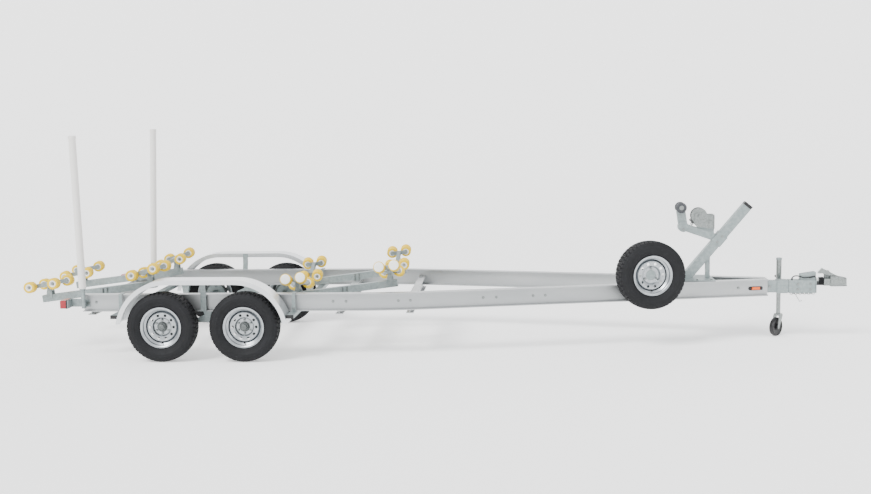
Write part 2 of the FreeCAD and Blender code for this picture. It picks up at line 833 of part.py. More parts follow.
def lamp_brackets():
    """A plate on the inner face of each rail's web, flanged at its end to carry the lamp."""
    inner = rail_half_spacing - rail_web / 2
    low = lamp_z - lamp_height / 2
    high = lamp_z + lamp_height / 2
    plate = block(lamp_x, rail_rear_x + lamp_bracket_overlap, inner - lamp_bracket_plate, inner, low, high)
    middle = rail_half_spacing + rail_flange_width / 2
    flange = block(lamp_x, lamp_x + lamp_bracket_plate, middle - lamp_width / 2, middle + lamp_width / 2,
                   low, high)
    bracket = joined(plate, flange)
    return [bracket, mirrored(bracket)]


def tail_lamps():
    middle = rail_half_spacing + rail_flange_width / 2
    lamp = block(lamp_x - lamp_depth, lamp_x, middle - lamp_width / 2, middle + lamp_width / 2,
                 lamp_z - lamp_height / 2, lamp_z + lamp_height / 2)
    rear = [edge for edge in lamp.Edges if edge.BoundBox.XMax < lamp_x - lamp_depth / 2]
    return both_sides(lamp.makeFillet(lamp_corner_radius, rear))


def side_markers():
    """Lamps on long bases, on the outer face of each rail's web near the nose."""
    y = rail_y(marker_x) + rail_web / 2 / math.cos(rail_angle)
    half = marker_length / 2
    lens = block(-half, half, 0, marker_depth, -marker_height / 2, marker_height / 2)
    front = [edge for edge in lens.Edges if edge.BoundBox.YMin > marker_depth / 2]
    lens = lens.makeFillet(marker_depth / 3, front)
    half = marker_base_length / 2
    tall = marker_base_height / 2
    base = block(-half, half, 0, marker_base_depth, -tall, tall)
    corners = [edge for edge in base.Edges if edge.BoundBox.YLength > marker_base_depth / 2]
    base = base.makeFillet(tall * marker_round_share, corners)
    set_in = swung(joined(base, lens), -math.degrees(rail_angle), Vector(0, 0, 1))
    return both_sides(moved(set_in, marker_x, y, marker_z))


def cradle_line(x, middle_x):
    """Height of a cradle arm's centre line, which rises forwards over its crossmember."""
    slope = math.radians(arm_slope)
    over = arm_saddle + arm_size / 2 / math.cos(slope)
    return cross_top + over + (x - middle_x) * math.tan(slope)


def cradle_arm(ends, middle_x, bogies):
    """A square tube on a saddle over its crossmember, with two cheeks and a pin at each cradle."""
    half = arm_size / 2
    core = half - arm_wall
    slope = math.radians(arm_slope)
    length = (ends[1] - ends[0]) / math.cos(slope)
    tube = block(0, length, -half, half, -half, half)
    arm = swung(tube, -arm_slope, Vector(0, 1, 0))
    arm = moved(arm, ends[0], arm_side_y, cradle_line(ends[0], middle_x))
    rear_x = middle_x - cross_width / 2
    front_x = middle_x + cross_width / 2
    seat = [(rear_x, cross_top), (front_x, cross_top), (front_x, cradle_line(front_x, middle_x)),
            (rear_x, cradle_line(rear_x, middle_x))]
    saddle = side_plate(seat, arm_side_y - half, arm_side_y + half)
    pieces = [arm, saddle]
    for bogie_x in bogies:
        pin_z = cradle_line(bogie_x, middle_x) + half + bogie_pivot_height
        low = cradle_line(bogie_x, middle_x)
        wide = bogie_post_size / 2
        tip = bogie_pin_radius * 2
        cheek = [(bogie_x - wide, low), (bogie_x + wide, low), (bogie_x + wide, pin_z - tip),
                 (bogie_x + tip, pin_z + tip), (bogie_x - tip, pin_z + tip), (bogie_x - wide, pin_z - tip)]
        for side in (-1, 1):
            y0, y1 = sorted((arm_side_y + side * half, arm_side_y + side * (half + bogie_ear)))
            pieces.append(side_plate(cheek, y0, y1))
        pieces.append(rod((bogie_x, arm_side_y - half - bogie_ear, pin_z),
                          (bogie_x, arm_side_y + half + bogie_ear, pin_z), bogie_pin_radius))
    within = swung(block(arm_wall, length - arm_wall, -core, core, -core, core), -arm_slope, Vector(0, 1, 0))
    within = moved(within, ends[0], arm_side_y, cradle_line(ends[0], middle_x))
    return joined(*pieces).cut(within)


def cradle_arms():
    rear = cradle_arm(arm_rear_ends, cross_places[0], [place[1] for place in bogie_places[:2]])
    front = cradle_arm(arm_front_ends, cross_places[1], [place[1] for place in bogie_places[2:]])
    return group(rear, mirrored(rear), front, mirrored(front))


def bogie_pivot(x):
    middle_x = cross_places[0] if x < 0 else cross_places[1]
    return cradle_line(x, middle_x) + arm_size / 2 + bogie_pivot_height


def bogie_frame(half_spacing, tilt):
    """A boss on the pivot pin under a tilted tube, whose side bars carry the roller shafts."""
    half = bogie_beam_size / 2
    inner_bar = roller_offset - roller_length / 2 - side_gap - bogie_side_bar
    boss_half = arm_size / 2 - side_gap
    boss_radius = bogie_pin_radius * 2
    reach = half_spacing + bogie_shaft_radius * 2
    pieces = [block(-half, half, -inner_bar, inner_bar, roller_rise - half, roller_rise + half)]
    for side in (-1, 1):
        y0, y1 = sorted((side * inner_bar, side * (inner_bar + bogie_side_bar)))
        low, high = roller_rise - bogie_side_height / 2, roller_rise + bogie_side_height / 2
        nip = bogie_side_height / 4
        bar = [(-reach, low + nip), (nip - reach, low), (reach - nip, low), (reach, low + nip),
               (reach, high - nip), (reach - nip, high), (nip - reach, high), (-reach, high - nip)]
        pieces.append(side_plate(bar, y0, y1))
        outer_end = side * (roller_offset + roller_length / 2)
        for x in (-half_spacing, half_spacing):
            shaft_start = (x, side * inner_bar, roller_rise)
            pieces.append(rod(shaft_start, (x, outer_end, roller_rise), bogie_shaft_radius))
    boss = rod((0, -boss_half, 0), (0, boss_half, 0), boss_radius)
    web = block(-boss_radius, boss_radius, -boss_half, boss_half, 0, roller_rise)
    frame = joined(swung(joined(*pieces), tilt, Vector(1, 0, 0)), boss, web)
    return frame.cut(rod((0, -arm_size, 0), (0, arm_size, 0), bogie_pin_radius + pin_gap))


def roller():
    """A ribbed roller on the Y axis with a plastic hub showing in each end."""
    half = roller_length / 2
    third = roller_length / 6
    low = roller_radius - roller_groove
    bore = bogie_shaft_radius + fit_gap
    edge = half - roller_hub_face
    shoulder = roller_radius - roller_hub_face
    return turned([(bore, -edge), (roller_hub_radius, -half), (shoulder, -half), (roller_radius, -edge),
                   (roller_radius, -third), (low, 0), (roller_radius, third),
                   (roller_radius, edge), (shoulder, half), (roller_hub_radius, half), (bore, edge)])


def roller_set(half_spacing, tilt):
    """The four rollers of one cradle, tilted up towards the outside."""
    piece = roller()
    rollers = group(*[moved(piece, x, side * roller_offset, roller_rise)
                      for side in (-1, 1) for x in (-half_spacing, half_spacing)])
    return swung(rollers, tilt, Vector(1, 0, 0))


def set_bogie(shape, side, x, pitch):
    """Pitch a cradle nose up and set it on its pin."""
    pitched = swung(shape, -pitch, Vector(0, 1, 0))
    left = moved(pitched, x, arm_side_y, bogie_pivot(x))
    return left if side > 0 else mirrored(left)


def tongue():
    """A box tube between the rails' noses, on a cross tube at its rear end."""
    half = tongue_width / 2
    core = half - tongue_wall
    tube = block(tongue_rear_x, tongue_front_x, -half, half, tongue_bottom, tongue_top)
    bore = block(tongue_rear_x - overrun, tongue_front_x + overrun, -core, core,
                 tongue_bottom + tongue_wall, tongue_top - tongue_wall)
    reach = rail_y(tongue_rear_x - tongue_cross_size)
    cross = block(tongue_rear_x - tongue_cross_size, tongue_rear_x, -reach, reach, tongue_bottom, tongue_top)
    flanks = [rail_flank(), mirrored(rail_flank())]
    nose_reach = rail_y(rail_nose_x - tongue_cheek_length)
    cheeks = [block(rail_nose_x - tongue_cheek_length, rail_nose_x, low, high, tongue_bottom, tongue_top)
              for low, high in ((-nose_reach, -half), (half, nose_reach))]
    return joined(tube.cut(bore), *[piece.cut(flanks) for piece in [cross] + cheeks])


def tongue_collar():
    """The jack's clamp round the tongue, with a round mounting plate on its left side."""
    half = tongue_width / 2
    wall = jack_collar_wall
    low, high = jack_collar_x, jack_collar_x + jack_collar_length
    shell = block(low, high, -half - wall, half + wall, tongue_bottom - wall, tongue_top + wall)
    inside = block(low - overrun, high + overrun, -half, half, tongue_bottom, tongue_top)
    middle_z = (tongue_bottom + tongue_top) / 2
    plate_end = half + wall + jack_plate
    plate = rod((jack_x, half + wall, middle_z), (jack_x, plate_end, middle_z), jack_plate_size / 2)
    return joined(shell.cut(inside), plate)


def coupler_case():
    """The coupler's outer case over the end of the tongue, with the brake cylinder's cover on top."""
    half = tongue_width / 2
    wall = case_wall
    low, high = case_rear_x, case_rear_x + case_length
    shell = block(low, high, -half - wall, half + wall, tongue_bottom - wall, tongue_top + wall)
    inside = block(low - overrun, tongue_front_x, -half, half, tongue_bottom, tongue_top)
    out = half + wall + case_flange
    flange = block(high - wall, high, -out, out, tongue_bottom - wall, tongue_top + wall)
    flange_edges = [edge for edge in flange.Edges if edge.BoundBox.XLength > wall / 2]
    flange = flange.makeFillet(case_flange, flange_edges)
    half_bore = slide_width / 2 + fit_gap
    half_tall = slide_height / 2 + fit_gap
    throat = block(tongue_front_x - overrun, high + overrun, -half_bore, half_bore,
                   slide_z - half_tall, slide_z + half_tall)
    roof = tongue_top + wall
    side = [(cover_rear_x, roof), (high, roof), (high, roof + cover_front_height),
            (cover_rear_x, roof + cover_rear_height)]
    cover = side_plate(side, -cover_width / 2, cover_width / 2)
    cover_edges = [edge for edge in cover.Edges if edge.BoundBox.ZMax > roof + cover_rear_height / 2]
    cover = cover.makeFillet(cover_round, cover_edges)
    return joined(shell.fuse(flange).cut([inside, throat]), cover)


def coupler_boot():
    """The ribbed rubber boot round the sliding bar, turned on the X axis."""
    fold = boot_length / boot_folds
    points = [(boot_rear_x, 0), (boot_rear_x, boot_radius - boot_valley)]
    for number in range(boot_folds):
        start = boot_rear_x + number * fold
        points += [(start + fold / 2, boot_radius), (start + fold, boot_radius - boot_valley)]
    points.append((boot_rear_x + boot_length, 0))
    face = outline([(x, 0, radius) for x, radius in points])
    return moved(face.revolve(Vector(), Vector(1, 0, 0), 360), 0, 0, boot_z)


def coupler():
    """The sliding coupler: a bar in the case, its boot and neck, and a pressed socket for the ball."""
    tall = slide_height / 2
    wide = slide_width / 2
    body_x = coupler_x - coupler_body_length
    bar = block(slide_rear_x, body_x, -wide, wide, slide_z - tall, slide_z + tall)
    neck_low = coupler_z - neck_height / 2
    neck = block(boot_rear_x + boot_length, body_x, -neck_width / 2, neck_width / 2,
                 neck_low, neck_low + neck_height)
    half = coupler_nose_radius
    top = coupler_z + coupler_top_height
    front_top = coupler_z + coupler_front_height
    bottom = coupler_z - coupler_skirt
    front_x = coupler_x + half
    over = top + overrun
    body = block(body_x, coupler_x, -half, half, bottom, over)
    nose = Part.makeCylinder(half, over - bottom, Vector(coupler_x, 0, bottom))
    sloped = side_plate([(coupler_x - half, top), (front_x, front_top), (front_x, over), (body_x, over),
                         (body_x, top)], -half, half)
    shell = joined(body, nose).cut(sloped)
    crown = [edge for edge in shell.Edges
             if edge.BoundBox.ZMin > coupler_z and edge.BoundBox.XMax > body_x + coupler_round]
    shell = shell.makeFillet(coupler_round, crown)
    lip = half + coupler_lip
    lip_plate = joined(block(body_x, coupler_x, -lip, lip, bottom, bottom + coupler_lip),
                       Part.makeCylinder(lip, coupler_lip, Vector(coupler_x, 0, bottom)))
    socket_radius = ball_radius + fit_gap * 2
    socket = Part.makeSphere(socket_radius, Vector(coupler_x, 0, coupler_z))
    mouth = rod((coupler_x, 0, bottom - overrun), (coupler_x, 0, coupler_z), socket_radius)
    return joined(shell, lip_plate, coupler_boot(), neck, bar).cut([socket, mouth])


def coupler_latch():
    """The latch over the coupler: two cheeks folded to a peak, a bridge between them and a knob."""
    base = coupler_z + coupler_top_height + fit_gap
    body_x = coupler_x - coupler_body_length
    heel = latch_heel_z - latch_plate * 2
    points = [(body_x, base), (coupler_x - coupler_nose_radius, base), (latch_knob_x, latch_knob_z),
              (latch_peak_x, latch_peak_z), (latch_rear_x, latch_heel_z), (latch_rear_x, heel),
              (latch_peak_x, heel)]
    half = latch_width / 2
    cheeks = [side_plate(points, half - latch_plate, half), side_plate(points, -half, latch_plate - half)]
    bridge = side_plate([(latch_rear_x, latch_heel_z), (latch_peak_x, latch_peak_z),
                         (latch_peak_x, latch_peak_z - latch_plate), (latch_rear_x, heel)], -half, half)
    sole = block(body_x, coupler_x - coupler_nose_radius, -half, half, base, base + latch_plate)
    sole = sole.common(side_plate(points, -half, half))
    knob = rod((latch_knob_x, -half - latch_plate, latch_knob_z),
               (latch_knob_x, half + latch_plate, latch_knob_z), latch_knob_radius)
    return joined(*cheeks, bridge, sole, knob)


def brake_hose():
    """The brake hose from the tongue's top along the cylinder's cover, with a nut at each end."""
    curve = Part.BSplineCurve()
    points = [Vector(*point) for point in hose_route]
    rise = Vector(0, 0, 1)
    curve.interpolate(points, InitialTangent=rise, FinalTangent=points[-1] - points[-2])
    path = Part.Wire([curve.toShape()])
    ring = Part.Wire([Part.Circle(points[0], rise, hose_radius).toShape()])
    hose = path.makePipeShell([ring], True, True)
    nut = Part.makeCylinder(hose_nut_radius, hose_nut_length, points[0], rise)
    end_x, end_y, end_z = hose_route[-1]
    wall_y = -cover_width / 2 - fit_gap
    union = rod((end_x, wall_y, end_z), (end_x, end_y - hose_nut_radius, end_z), hose_nut_radius)
    return joined(hose, nut, union)


def chain_link():
    """One link along X, lying flat: two bends and two straights."""
    half = chain_straight / 2
    left = Part.makeTorus(chain_bend, chain_wire, Vector(-half, 0, 0), Vector(0, 0, 1))
    right = Part.makeTorus(chain_bend, chain_wire, Vector(half, 0, 0), Vector(0, 0, 1))
    reach = chain_bend * 2
    left = left.cut(block(-half, reach, -reach, reach, -reach, reach))
    right = right.cut(block(-reach, half, -reach, reach, -reach, reach))
    straights = [rod((-half, y, 0), (half, y, 0), chain_wire) for y in (-chain_bend, chain_bend)]
    return joined(left, right, *straights)


def safety_chain():
    """A chain drawn along under the coupler's case, each link turned a quarter, with its snap hook."""
    pitch = chain_straight + (chain_bend - chain_wire) * 2 - chain_overlap
    level = tongue_bottom - case_wall - chain_bend - chain_wire
    link = chain_link()
    upright = swung(link, 90, Vector(1, 0, 0))
    links = []
    for number in range(chain_links):
        shape = link if number % 2 else upright
        links.append(moved(shape, chain_rear_x + number * pitch, 0, level))
    top = (chain_hook_x, 0, level - chain_bend)
    foot = (chain_hook_x + chain_hook_run, 0, level - chain_bend - chain_hook_drop)
    hook = rod(top, foot, chain_wire)
    tip = rod(foot, (foot[0] + chain_hook_run / 2, 0, foot[2] + chain_bend), chain_wire)
    return joined(*links, hook, tip, Part.makeSphere(chain_wire, Vector(*foot)))


def raked(shape, run):
    """Stand a piece made along X, from zero to its run, up the rake of the post to the post's top."""
    angle = math.radians(stand_angle)
    lifted = swung(shape, -stand_angle, Vector(0, 1, 0))
    return moved(lifted, stand_top_x - run * math.cos(angle), 0, stand_top_z - run * math.sin(angle))


def post_prism(half, run, over):
    return raked(block(-over, run + over, -half, half, -half, half), run)


def winch_post():
    """The raked square post, cut level on its base plate across both rails."""
    half = stand_size / 2
    foot_z = rail_top + base_plate
    run = (stand_top_z - rail_top) / math.sin(math.radians(stand_angle)) + stand_size
    over = stand_size * 2
    keep = block(0, stand_top_x + over, -over, over, foot_z, stand_top_z + over)
    post = post_prism(half, run, 0).cut(post_prism(half - stand_wall, run, overrun)).common(keep)
    reach = rail_y(base_front_x) + rail_flange_width / 2
    plate = block(base_rear_x, base_front_x, -reach, reach, rail_top, foot_z)
    return joined(post, plate)


def post_cap():
    half = stand_size / 2
    cap = block(0, stand_cap, -half, half, -half, half)
    lifted = swung(cap, -stand_angle, Vector(0, 1, 0))
    return moved(lifted, stand_top_x, 0, stand_top_z)


def post_under_z(x):
    """Height of the raked post's lower face over a place along the trailer."""
    angle = math.radians(stand_angle)
    return stand_top_z - (stand_top_x - x) * math.tan(angle) - stand_size / 2 / math.cos(angle)


def winch_brace():
    half = brace_size / 2
    foot_z = rail_top + base_plate
    rear_x = brace_x - half
    front_x = brace_x + half
    points = [(rear_x, foot_z), (front_x, foot_z), (front_x, post_under_z(front_x)),
              (rear_x, post_under_z(rear_x))]
    return side_plate(points, -half, half)


def arm_beam_height(x):
    """Height of the winch arm's centre line, which falls towards the post."""
    post_x = stand_top_x - (stand_top_z - arm_beam_z) / math.tan(math.radians(stand_angle))
    return arm_beam_z - (x - post_x) * math.tan(math.radians(arm_beam_slope))


def winch_sole(x):
    """Height of the winch frame's lower edge over a place along the trailer."""
    fall = (winch_rear_sole_z - winch_front_sole_z) / (winch_front_x - winch_foot_x)
    return winch_rear_sole_z - (x - winch_foot_x) * fall


def arm_top(x):
    return arm_beam_height(x) + arm_beam_size / 2 / math.cos(math.radians(arm_beam_slope))


def winch_arm():
    """The winch's arm: a tube with its collar, a wedge for the winch, an elbow and an upright."""
    half = arm_beam_size / 2
    tall = half / math.cos(math.radians(arm_beam_slope))
    angle = math.radians(stand_angle)
    post_x = stand_top_x - (stand_top_z - arm_beam_z) / math.tan(angle)
    rear_z = arm_beam_height(arm_beam_rear_x)
    points = [(arm_beam_rear_x, rear_z - tall), (post_x, arm_beam_z - tall),
              (post_x, arm_beam_z + tall), (arm_beam_rear_x, rear_z + tall)]
    run = (stand_top_z - arm_beam_z) / math.sin(angle)
    low = -collar_length / 2
    outer = stand_size / 2 + collar_plate
    collar = raked(block(low, -low, -outer, outer, -outer, outer), run)
    inner = stand_size / 2
    bore = raked(block(low - overrun, overrun - low, -inner, inner, -inner, inner), run)
    elbow_out = half + elbow_plate
    elbow = rod((arm_beam_rear_x, -elbow_out, rear_z), (arm_beam_rear_x, elbow_out, rear_z), elbow_radius)
    wide = upright_width / 2
    deep = upright_depth / 2
    shoulder_z = bow_roller_z - upright_round
    upright = side_plate([(arm_beam_rear_x - wide, rear_z), (arm_beam_rear_x + wide, rear_z),
                          (bow_roller_x + wide, shoulder_z), (bow_roller_x + upright_round, bow_roller_z),
                          (bow_roller_x - upright_round, bow_roller_z), (bow_roller_x - wide, shoulder_z)],
                         -deep, deep)
    crown = rod((bow_roller_x, -deep, bow_roller_z), (bow_roller_x, deep, bow_roller_z), upright_round)
    shaft_bore = rod((bow_roller_x, -outer, bow_roller_z), (bow_roller_x, outer, bow_roller_z),
                     bow_shaft_radius + pin_gap)
    wedge_half = winch_saddle_width / 2
    wedge = side_plate([(winch_foot_x, winch_sole(winch_foot_x)), (winch_front_x, winch_front_sole_z),
                        (winch_front_x, arm_beam_height(winch_front_x)),
                        (winch_foot_x, arm_beam_height(winch_foot_x))], -wedge_half, wedge_half)
    pieces = [collar, elbow, upright, crown, wedge]
    return joined(side_plate(points, -half, half), *pieces).cut([bore, shaft_bore])


def bow_roller():
    """Two rubber bow wheels on one shaft, one each side of the upright."""
    inner = upright_depth / 2 + side_gap
    outer = inner + bow_roller_width
    end = outer + bow_roller_hub
    ease = bow_roller_radius - bow_roller_round
    profile = [(0, 0), (bow_shaft_radius, 0), (bow_shaft_radius, inner), (ease, inner),
               (bow_roller_radius, inner + bow_roller_round), (bow_roller_radius, outer - bow_roller_round),
               (ease, outer), (bow_roller_hub_radius, outer), (bow_roller_hub_radius, end), (0, end)]
    half = turned(profile)
    return moved(joined(half, mirrored(half)), bow_roller_x, 0, bow_roller_z)


def winch_frame():
    """Two pressed cheeks on a floor over the arm's wedge, bored for the drum's and crank's shafts."""
    out = winch_width / 2
    inside = out - winch_plate
    core = winch_drum_radius
    cheek = [(winch_foot_x, winch_rear_sole_z), (winch_front_x, winch_front_sole_z),
             (winch_front_x, winch_front_top_z), (winch_x + core * 2, winch_front_top_z),
             (winch_x + core, winch_z + core), (winch_x - core, winch_z + core), (winch_rear_x, winch_z),
             (winch_rear_x, winch_heel_z)]
    cheeks = [side_plate(cheek, inside, out), side_plate(cheek, -out, -inside)]
    rear_z, front_z = winch_rear_sole_z, winch_front_sole_z
    sole = [(winch_foot_x, rear_z), (winch_front_x, front_z), (winch_front_x, front_z + winch_plate),
            (winch_foot_x, rear_z + winch_plate)]
    floor = side_plate(sole, -out, out)
    front = block(winch_front_x - winch_plate, winch_front_x, -out - winch_flange_rise,
                  out + winch_flange_rise, front_z + winch_plate / 2, winch_front_top_z - winch_flange_rise)
    bore = winch_shaft_radius + pin_gap
    holes = [rod((x, -out * 2, z), (x, out * 2, z), bore)
             for x, z in ((winch_x, winch_z), (crank_x, crank_z))]
    return joined(*cheeks, floor, front).cut(holes)


def strap_roll():
    """The webbing wound on the drum."""
    half = strap_width / 2
    core = winch_drum_radius + fit_gap
    shape = turned([(core, -half), (strap_roll_radius, -half), (strap_roll_radius, half), (core, half)])
    return moved(shape, winch_x, 0, winch_z)


def strap_tail():
    """The webbing's end, hanging from the roll to a hook through the winch arm's top."""
    half = strap_width / 2
    rear_x = winch_x - strap_roll_radius - strap_thickness - fit_gap
    front_x = rear_x + strap_thickness
    tail = block(rear_x, front_x, -half, half, strap_hook_z, winch_z)
    hook_x = (rear_x + front_x) / 2
    ring = Part.makeTorus(strap_hook_radius, strap_thickness / 2, Vector(hook_x, 0, strap_hook_z),
                          Vector(0, 1, 0))
    foot_z = arm_top(rear_x) + fit_gap
    shank = rod((hook_x, 0, foot_z), (hook_x, 0, strap_hook_z - strap_hook_radius),
                strap_thickness / 2)
    return joined(tail, ring, shank)


def winch_drum():
    inside = winch_width / 2 - winch_plate - side_gap
    out = winch_width / 2 + winch_plate
    core = inside - winch_flange
    shape = turned([(0, -out), (winch_shaft_radius, -out), (winch_shaft_radius, -inside),
                    (winch_flange_radius, -inside), (winch_flange_radius, -core), (winch_drum_radius, -core),
                    (winch_drum_radius, core), (winch_flange_radius, core), (winch_flange_radius, inside),
                    (winch_shaft_radius, inside), (winch_shaft_radius, out), (0, out)])
    return moved(shape, winch_x, 0, winch_z)


def winch_crank():
    """The winch's hand crank on the left side, with its grip."""
    out = winch_width / 2 + winch_flange_rise
    bar_in = out + side_gap
    bar_out = bar_in + crank_bar
    start = (crank_x, -winch_width / 2, crank_z)
    shaft = rod(start, (crank_x, bar_out, crank_z), winch_shaft_radius)
    wide = crank_bar_width / 2
    bar = block(crank_x - crank_length, crank_x + wide, bar_in, bar_out, crank_z - wide, crank_z + wide)
    grip_x = crank_x - crank_length + wide
    grip_end = bar_out + crank_grip_length
    grip = rod((grip_x, bar_out, crank_z), (grip_x, grip_end, crank_z), crank_grip_radius)
    return joined(shaft, bar, grip)


def spare_frame(shape):
    """Turn a piece made on the Y axis to lie along the right rail, and set it at the spare's place."""
    faced = mirrored(shape)
    return moved(swung(faced, math.degrees(rail_angle), Vector(0, 0, 1)), spare_x, spare_centre_y(), spare_z)


def spare_centre_y():
    return -rail_y(spare_x) - spare_stand_off / math.cos(rail_angle)


def spare_carrier():
    """A box in the rail's web, an upright past its flange and a tube to the flange behind the spare."""
    back = disc_boss_offset - disc_wall - fit_gap
    web_face = rail_web / 2 - spare_stand_off
    upright_face = rail_flange_width / 2 - spare_stand_off + side_gap
    half = carrier_width / 2
    foot = spare_z - rail_bottom - rail_flange
    foot_top = foot - rail_height + rail_flange * 2
    base = block(-half, half, web_face, upright_face, -foot, -foot_top)
    inner = half - carrier_plate
    core = block(-inner, inner, web_face - overrun, upright_face - carrier_plate,
                 carrier_plate - foot, -foot_top - carrier_plate)
    upright = block(-half, half, upright_face, upright_face + carrier_plate, -foot, half)
    stub = pipe((0, upright_face + carrier_plate, 0), (0, back - carrier_plate, 0), half, carrier_plate)
    flange = rod((0, back - carrier_plate, 0), (0, back, 0), carrier_flange_radius)
    return spare_frame(joined(base.cut(core), upright, stub, flange))


def jack_tube():
    """The jack's outer tube with its cap, on a swivel plate and clamp beside the tongue."""
    half = tongue_width / 2
    wall_y = half + jack_collar_wall + jack_plate + fit_gap
    middle_z = (tongue_bottom + tongue_top) / 2
    cap_z = jack_top - jack_cap_height
    tube = pipe((jack_x, jack_y, jack_outer_bottom), (jack_x, jack_y, cap_z), jack_outer_radius, jack_wall)
    cap = rod((jack_x, jack_y, cap_z), (jack_x, jack_y, jack_top), jack_outer_radius)
    rim_edges = [edge for edge in cap.Edges if edge.BoundBox.ZMin > jack_top - jack_cap_height / 2]
    cap = cap.makeFillet(jack_cap_height / 2, rim_edges)
    plate = rod((jack_x, wall_y, middle_z), (jack_x, wall_y + jack_plate, middle_z), jack_plate_size / 2)
    clamp = block(jack_x - jack_outer_radius, jack_x + jack_outer_radius, wall_y + jack_plate, jack_y,
                  middle_z - jack_clamp_height / 2, middle_z + jack_clamp_height / 2)
    bore = Part.makeCylinder(jack_outer_radius - jack_wall, jack_clamp_height * 2,
                             Vector(jack_x, jack_y, middle_z - jack_clamp_height))
    return joined(tube, cap, plate, clamp.cut(bore))


def jack_inner():
    """The inner tube, with the kingpin that the caster turns on."""
    low = caster_radius * 2 + overrun * 2
    high = jack_outer_bottom + jack_inner_overlap
    tube = rod((jack_x, jack_y, low), (jack_x, jack_y, high), jack_inner_radius)
    collar_radius = jack_outer_radius - jack_wall - fit_gap
    collar = rod((jack_x, jack_y, high - overrun), (jack_x, jack_y, high), collar_radius)
    kingpin = rod((jack_x, jack_y, low - overrun), (jack_x, jack_y, low), caster_kingpin_radius)
    return joined(tube, collar, kingpin)


def caster_fork():
    """The caster's fork, turned on the kingpin."""
    top = caster_radius * 2 + overrun * 2 - fit_gap
    plate = caster_fork_plate
    half = caster_width / 2 + side_gap
    out = half + plate
    crown = block(-out, out, -out, out, top - overrun, top)
    crown_edges = [edge for edge in crown.Edges if edge.BoundBox.ZLength > overrun / 2]
    crown = crown.makeFillet(half / 2, crown_edges)
    foot_z = caster_radius - overrun
    arm = [(-caster_trail - overrun, caster_radius), (-caster_trail - overrun / 2, foot_z),
           (-caster_trail + overrun / 2, foot_z), (-caster_trail + overrun, caster_radius),
           (out, top - overrun), (out - half / 2, top), (half / 2 - out, top), (-out, top - overrun)]
    arms = [side_plate(arm, half, out), side_plate(arm, -out, -half)]
    axle = rod((-caster_trail, -out, caster_radius), (-caster_trail, out, caster_radius), caster_axle_radius)
    hole = Part.makeCylinder(caster_kingpin_radius + pin_gap, overrun * 3, Vector(0, 0, top - overrun * 2))
    fork = joined(crown, *arms, axle).cut(hole)
    return moved(swung(fork, caster_turn, Vector(0, 0, 1)), jack_x, jack_y, 0)


def caster_wheel():
    half = caster_width / 2
    edge = half / 2
    groove = edge * caster_groove_share
    bore = caster_axle_radius + pin_gap
    hub_radius = caster_radius / 3
    shape = turned([(bore, -half), (hub_radius, -half), (hub_radius, -edge), (caster_radius - edge, -groove),
                    (caster_radius - edge / 2, -half), (caster_radius, -edge), (caster_radius, edge),
                    (caster_radius - edge / 2, half), (caster_radius - edge, groove), (hub_radius, edge),
                    (hub_radius, half), (bore, half)])
    placed = moved(shape, -caster_trail, 0, caster_radius)
    return moved(swung(placed, caster_turn, Vector(0, 0, 1)), jack_x, jack_y, 0)


def jack_crank():
    """The side-wind crank, hanging on the far side of the jack."""
    start = jack_y + jack_outer_radius + fit_gap
    end = start + jack_crank_reach
    foot_z = jack_crank_height - jack_crank_drop
    shaft = rod((jack_x, start, jack_crank_height), (jack_x, end, jack_crank_height), jack_crank_radius)
    arm = rod((jack_x, end, jack_crank_height), (jack_x, end, foot_z), jack_crank_radius)
    elbow = Part.makeSphere(jack_crank_radius, Vector(jack_x, end, jack_crank_height))
    knob = rod((jack_x, end, foot_z), (jack_x, end + jack_crank_knob_length, foot_z), jack_crank_knob_radius)
    return joined(shaft, elbow, arm, knob)


def build():
    nodes = {}
    nodes["rail_right"], nodes["rail_left"] = rails()
    nodes["crossmembers"] = crossmembers(nodes["rail_left"])
    nodes["axles"] = axles()
    nodes["leaf_springs"] = leaf_springs()
    nodes["spring_hangers"] = suspension()
    nodes["fender_left"] = fender()
    nodes["fender_right"] = mirrored(nodes["fender_left"])
    nodes["fender_supports"] = fender_supports()
    nodes["guide_posts"] = guide_posts()
    nodes["rear_brackets"] = group(*guide_brackets(), *lamp_brackets())
    nodes["tail_lamps"] = tail_lamps()
    nodes["side_markers"] = side_markers()
    nodes["cradle_arms"] = cradle_arms()
    for side, x, name in wheel_places():
        nodes[f"tyre_{name}"] = set_wheel(tyre(), side, x)
        nodes[f"rim_{name}"] = set_wheel(group(rim(), hub()), side, x)
    for side, side_name in ((-1, "right"), (1, "left")):
        for name, x, half_spacing, pitch, tilt in bogie_places:
            place = (side, x, pitch)
            nodes[f"cradle_{name}_{side_name}"] = set_bogie(bogie_frame(half_spacing, tilt), *place)
            nodes[f"rollers_{name}_{side_name}"] = set_bogie(roller_set(half_spacing, tilt), *place)
    nodes["tongue"] = group(tongue(), tongue_collar())
    nodes["coupler_case"] = coupler_case()
    nodes["coupler"] = coupler()
    nodes["coupler_latch"] = coupler_latch()
    nodes["brake_hose"] = brake_hose()
    nodes["safety_chain"] = safety_chain()
    nodes["winch_post"] = group(winch_post(), winch_brace())
    nodes["post_cap"] = post_cap()
    nodes["winch_arm"] = winch_arm()
    nodes["winch_frame"] = winch_frame()
    nodes["winch_drum"] = winch_drum()
    nodes["strap_roll"] = strap_roll()
    nodes["strap_tail"] = strap_tail()
    nodes["winch_crank"] = winch_crank()
    nodes["bow_roller"] = bow_roller()
    nodes["spare_carrier"] = spare_carrier()
    nodes["spare_tyre"] = spare_frame(tyre())
    nodes["spare_rim"] = spare_frame(rim())
    nodes["jack_tube"] = jack_tube()
    nodes["jack_inner"] = jack_inner()
    nodes["jack_crank"] = jack_crank()
    nodes["caster_fork"] = caster_fork()
    nodes["caster_wheel"] = caster_wheel()
    return nodes


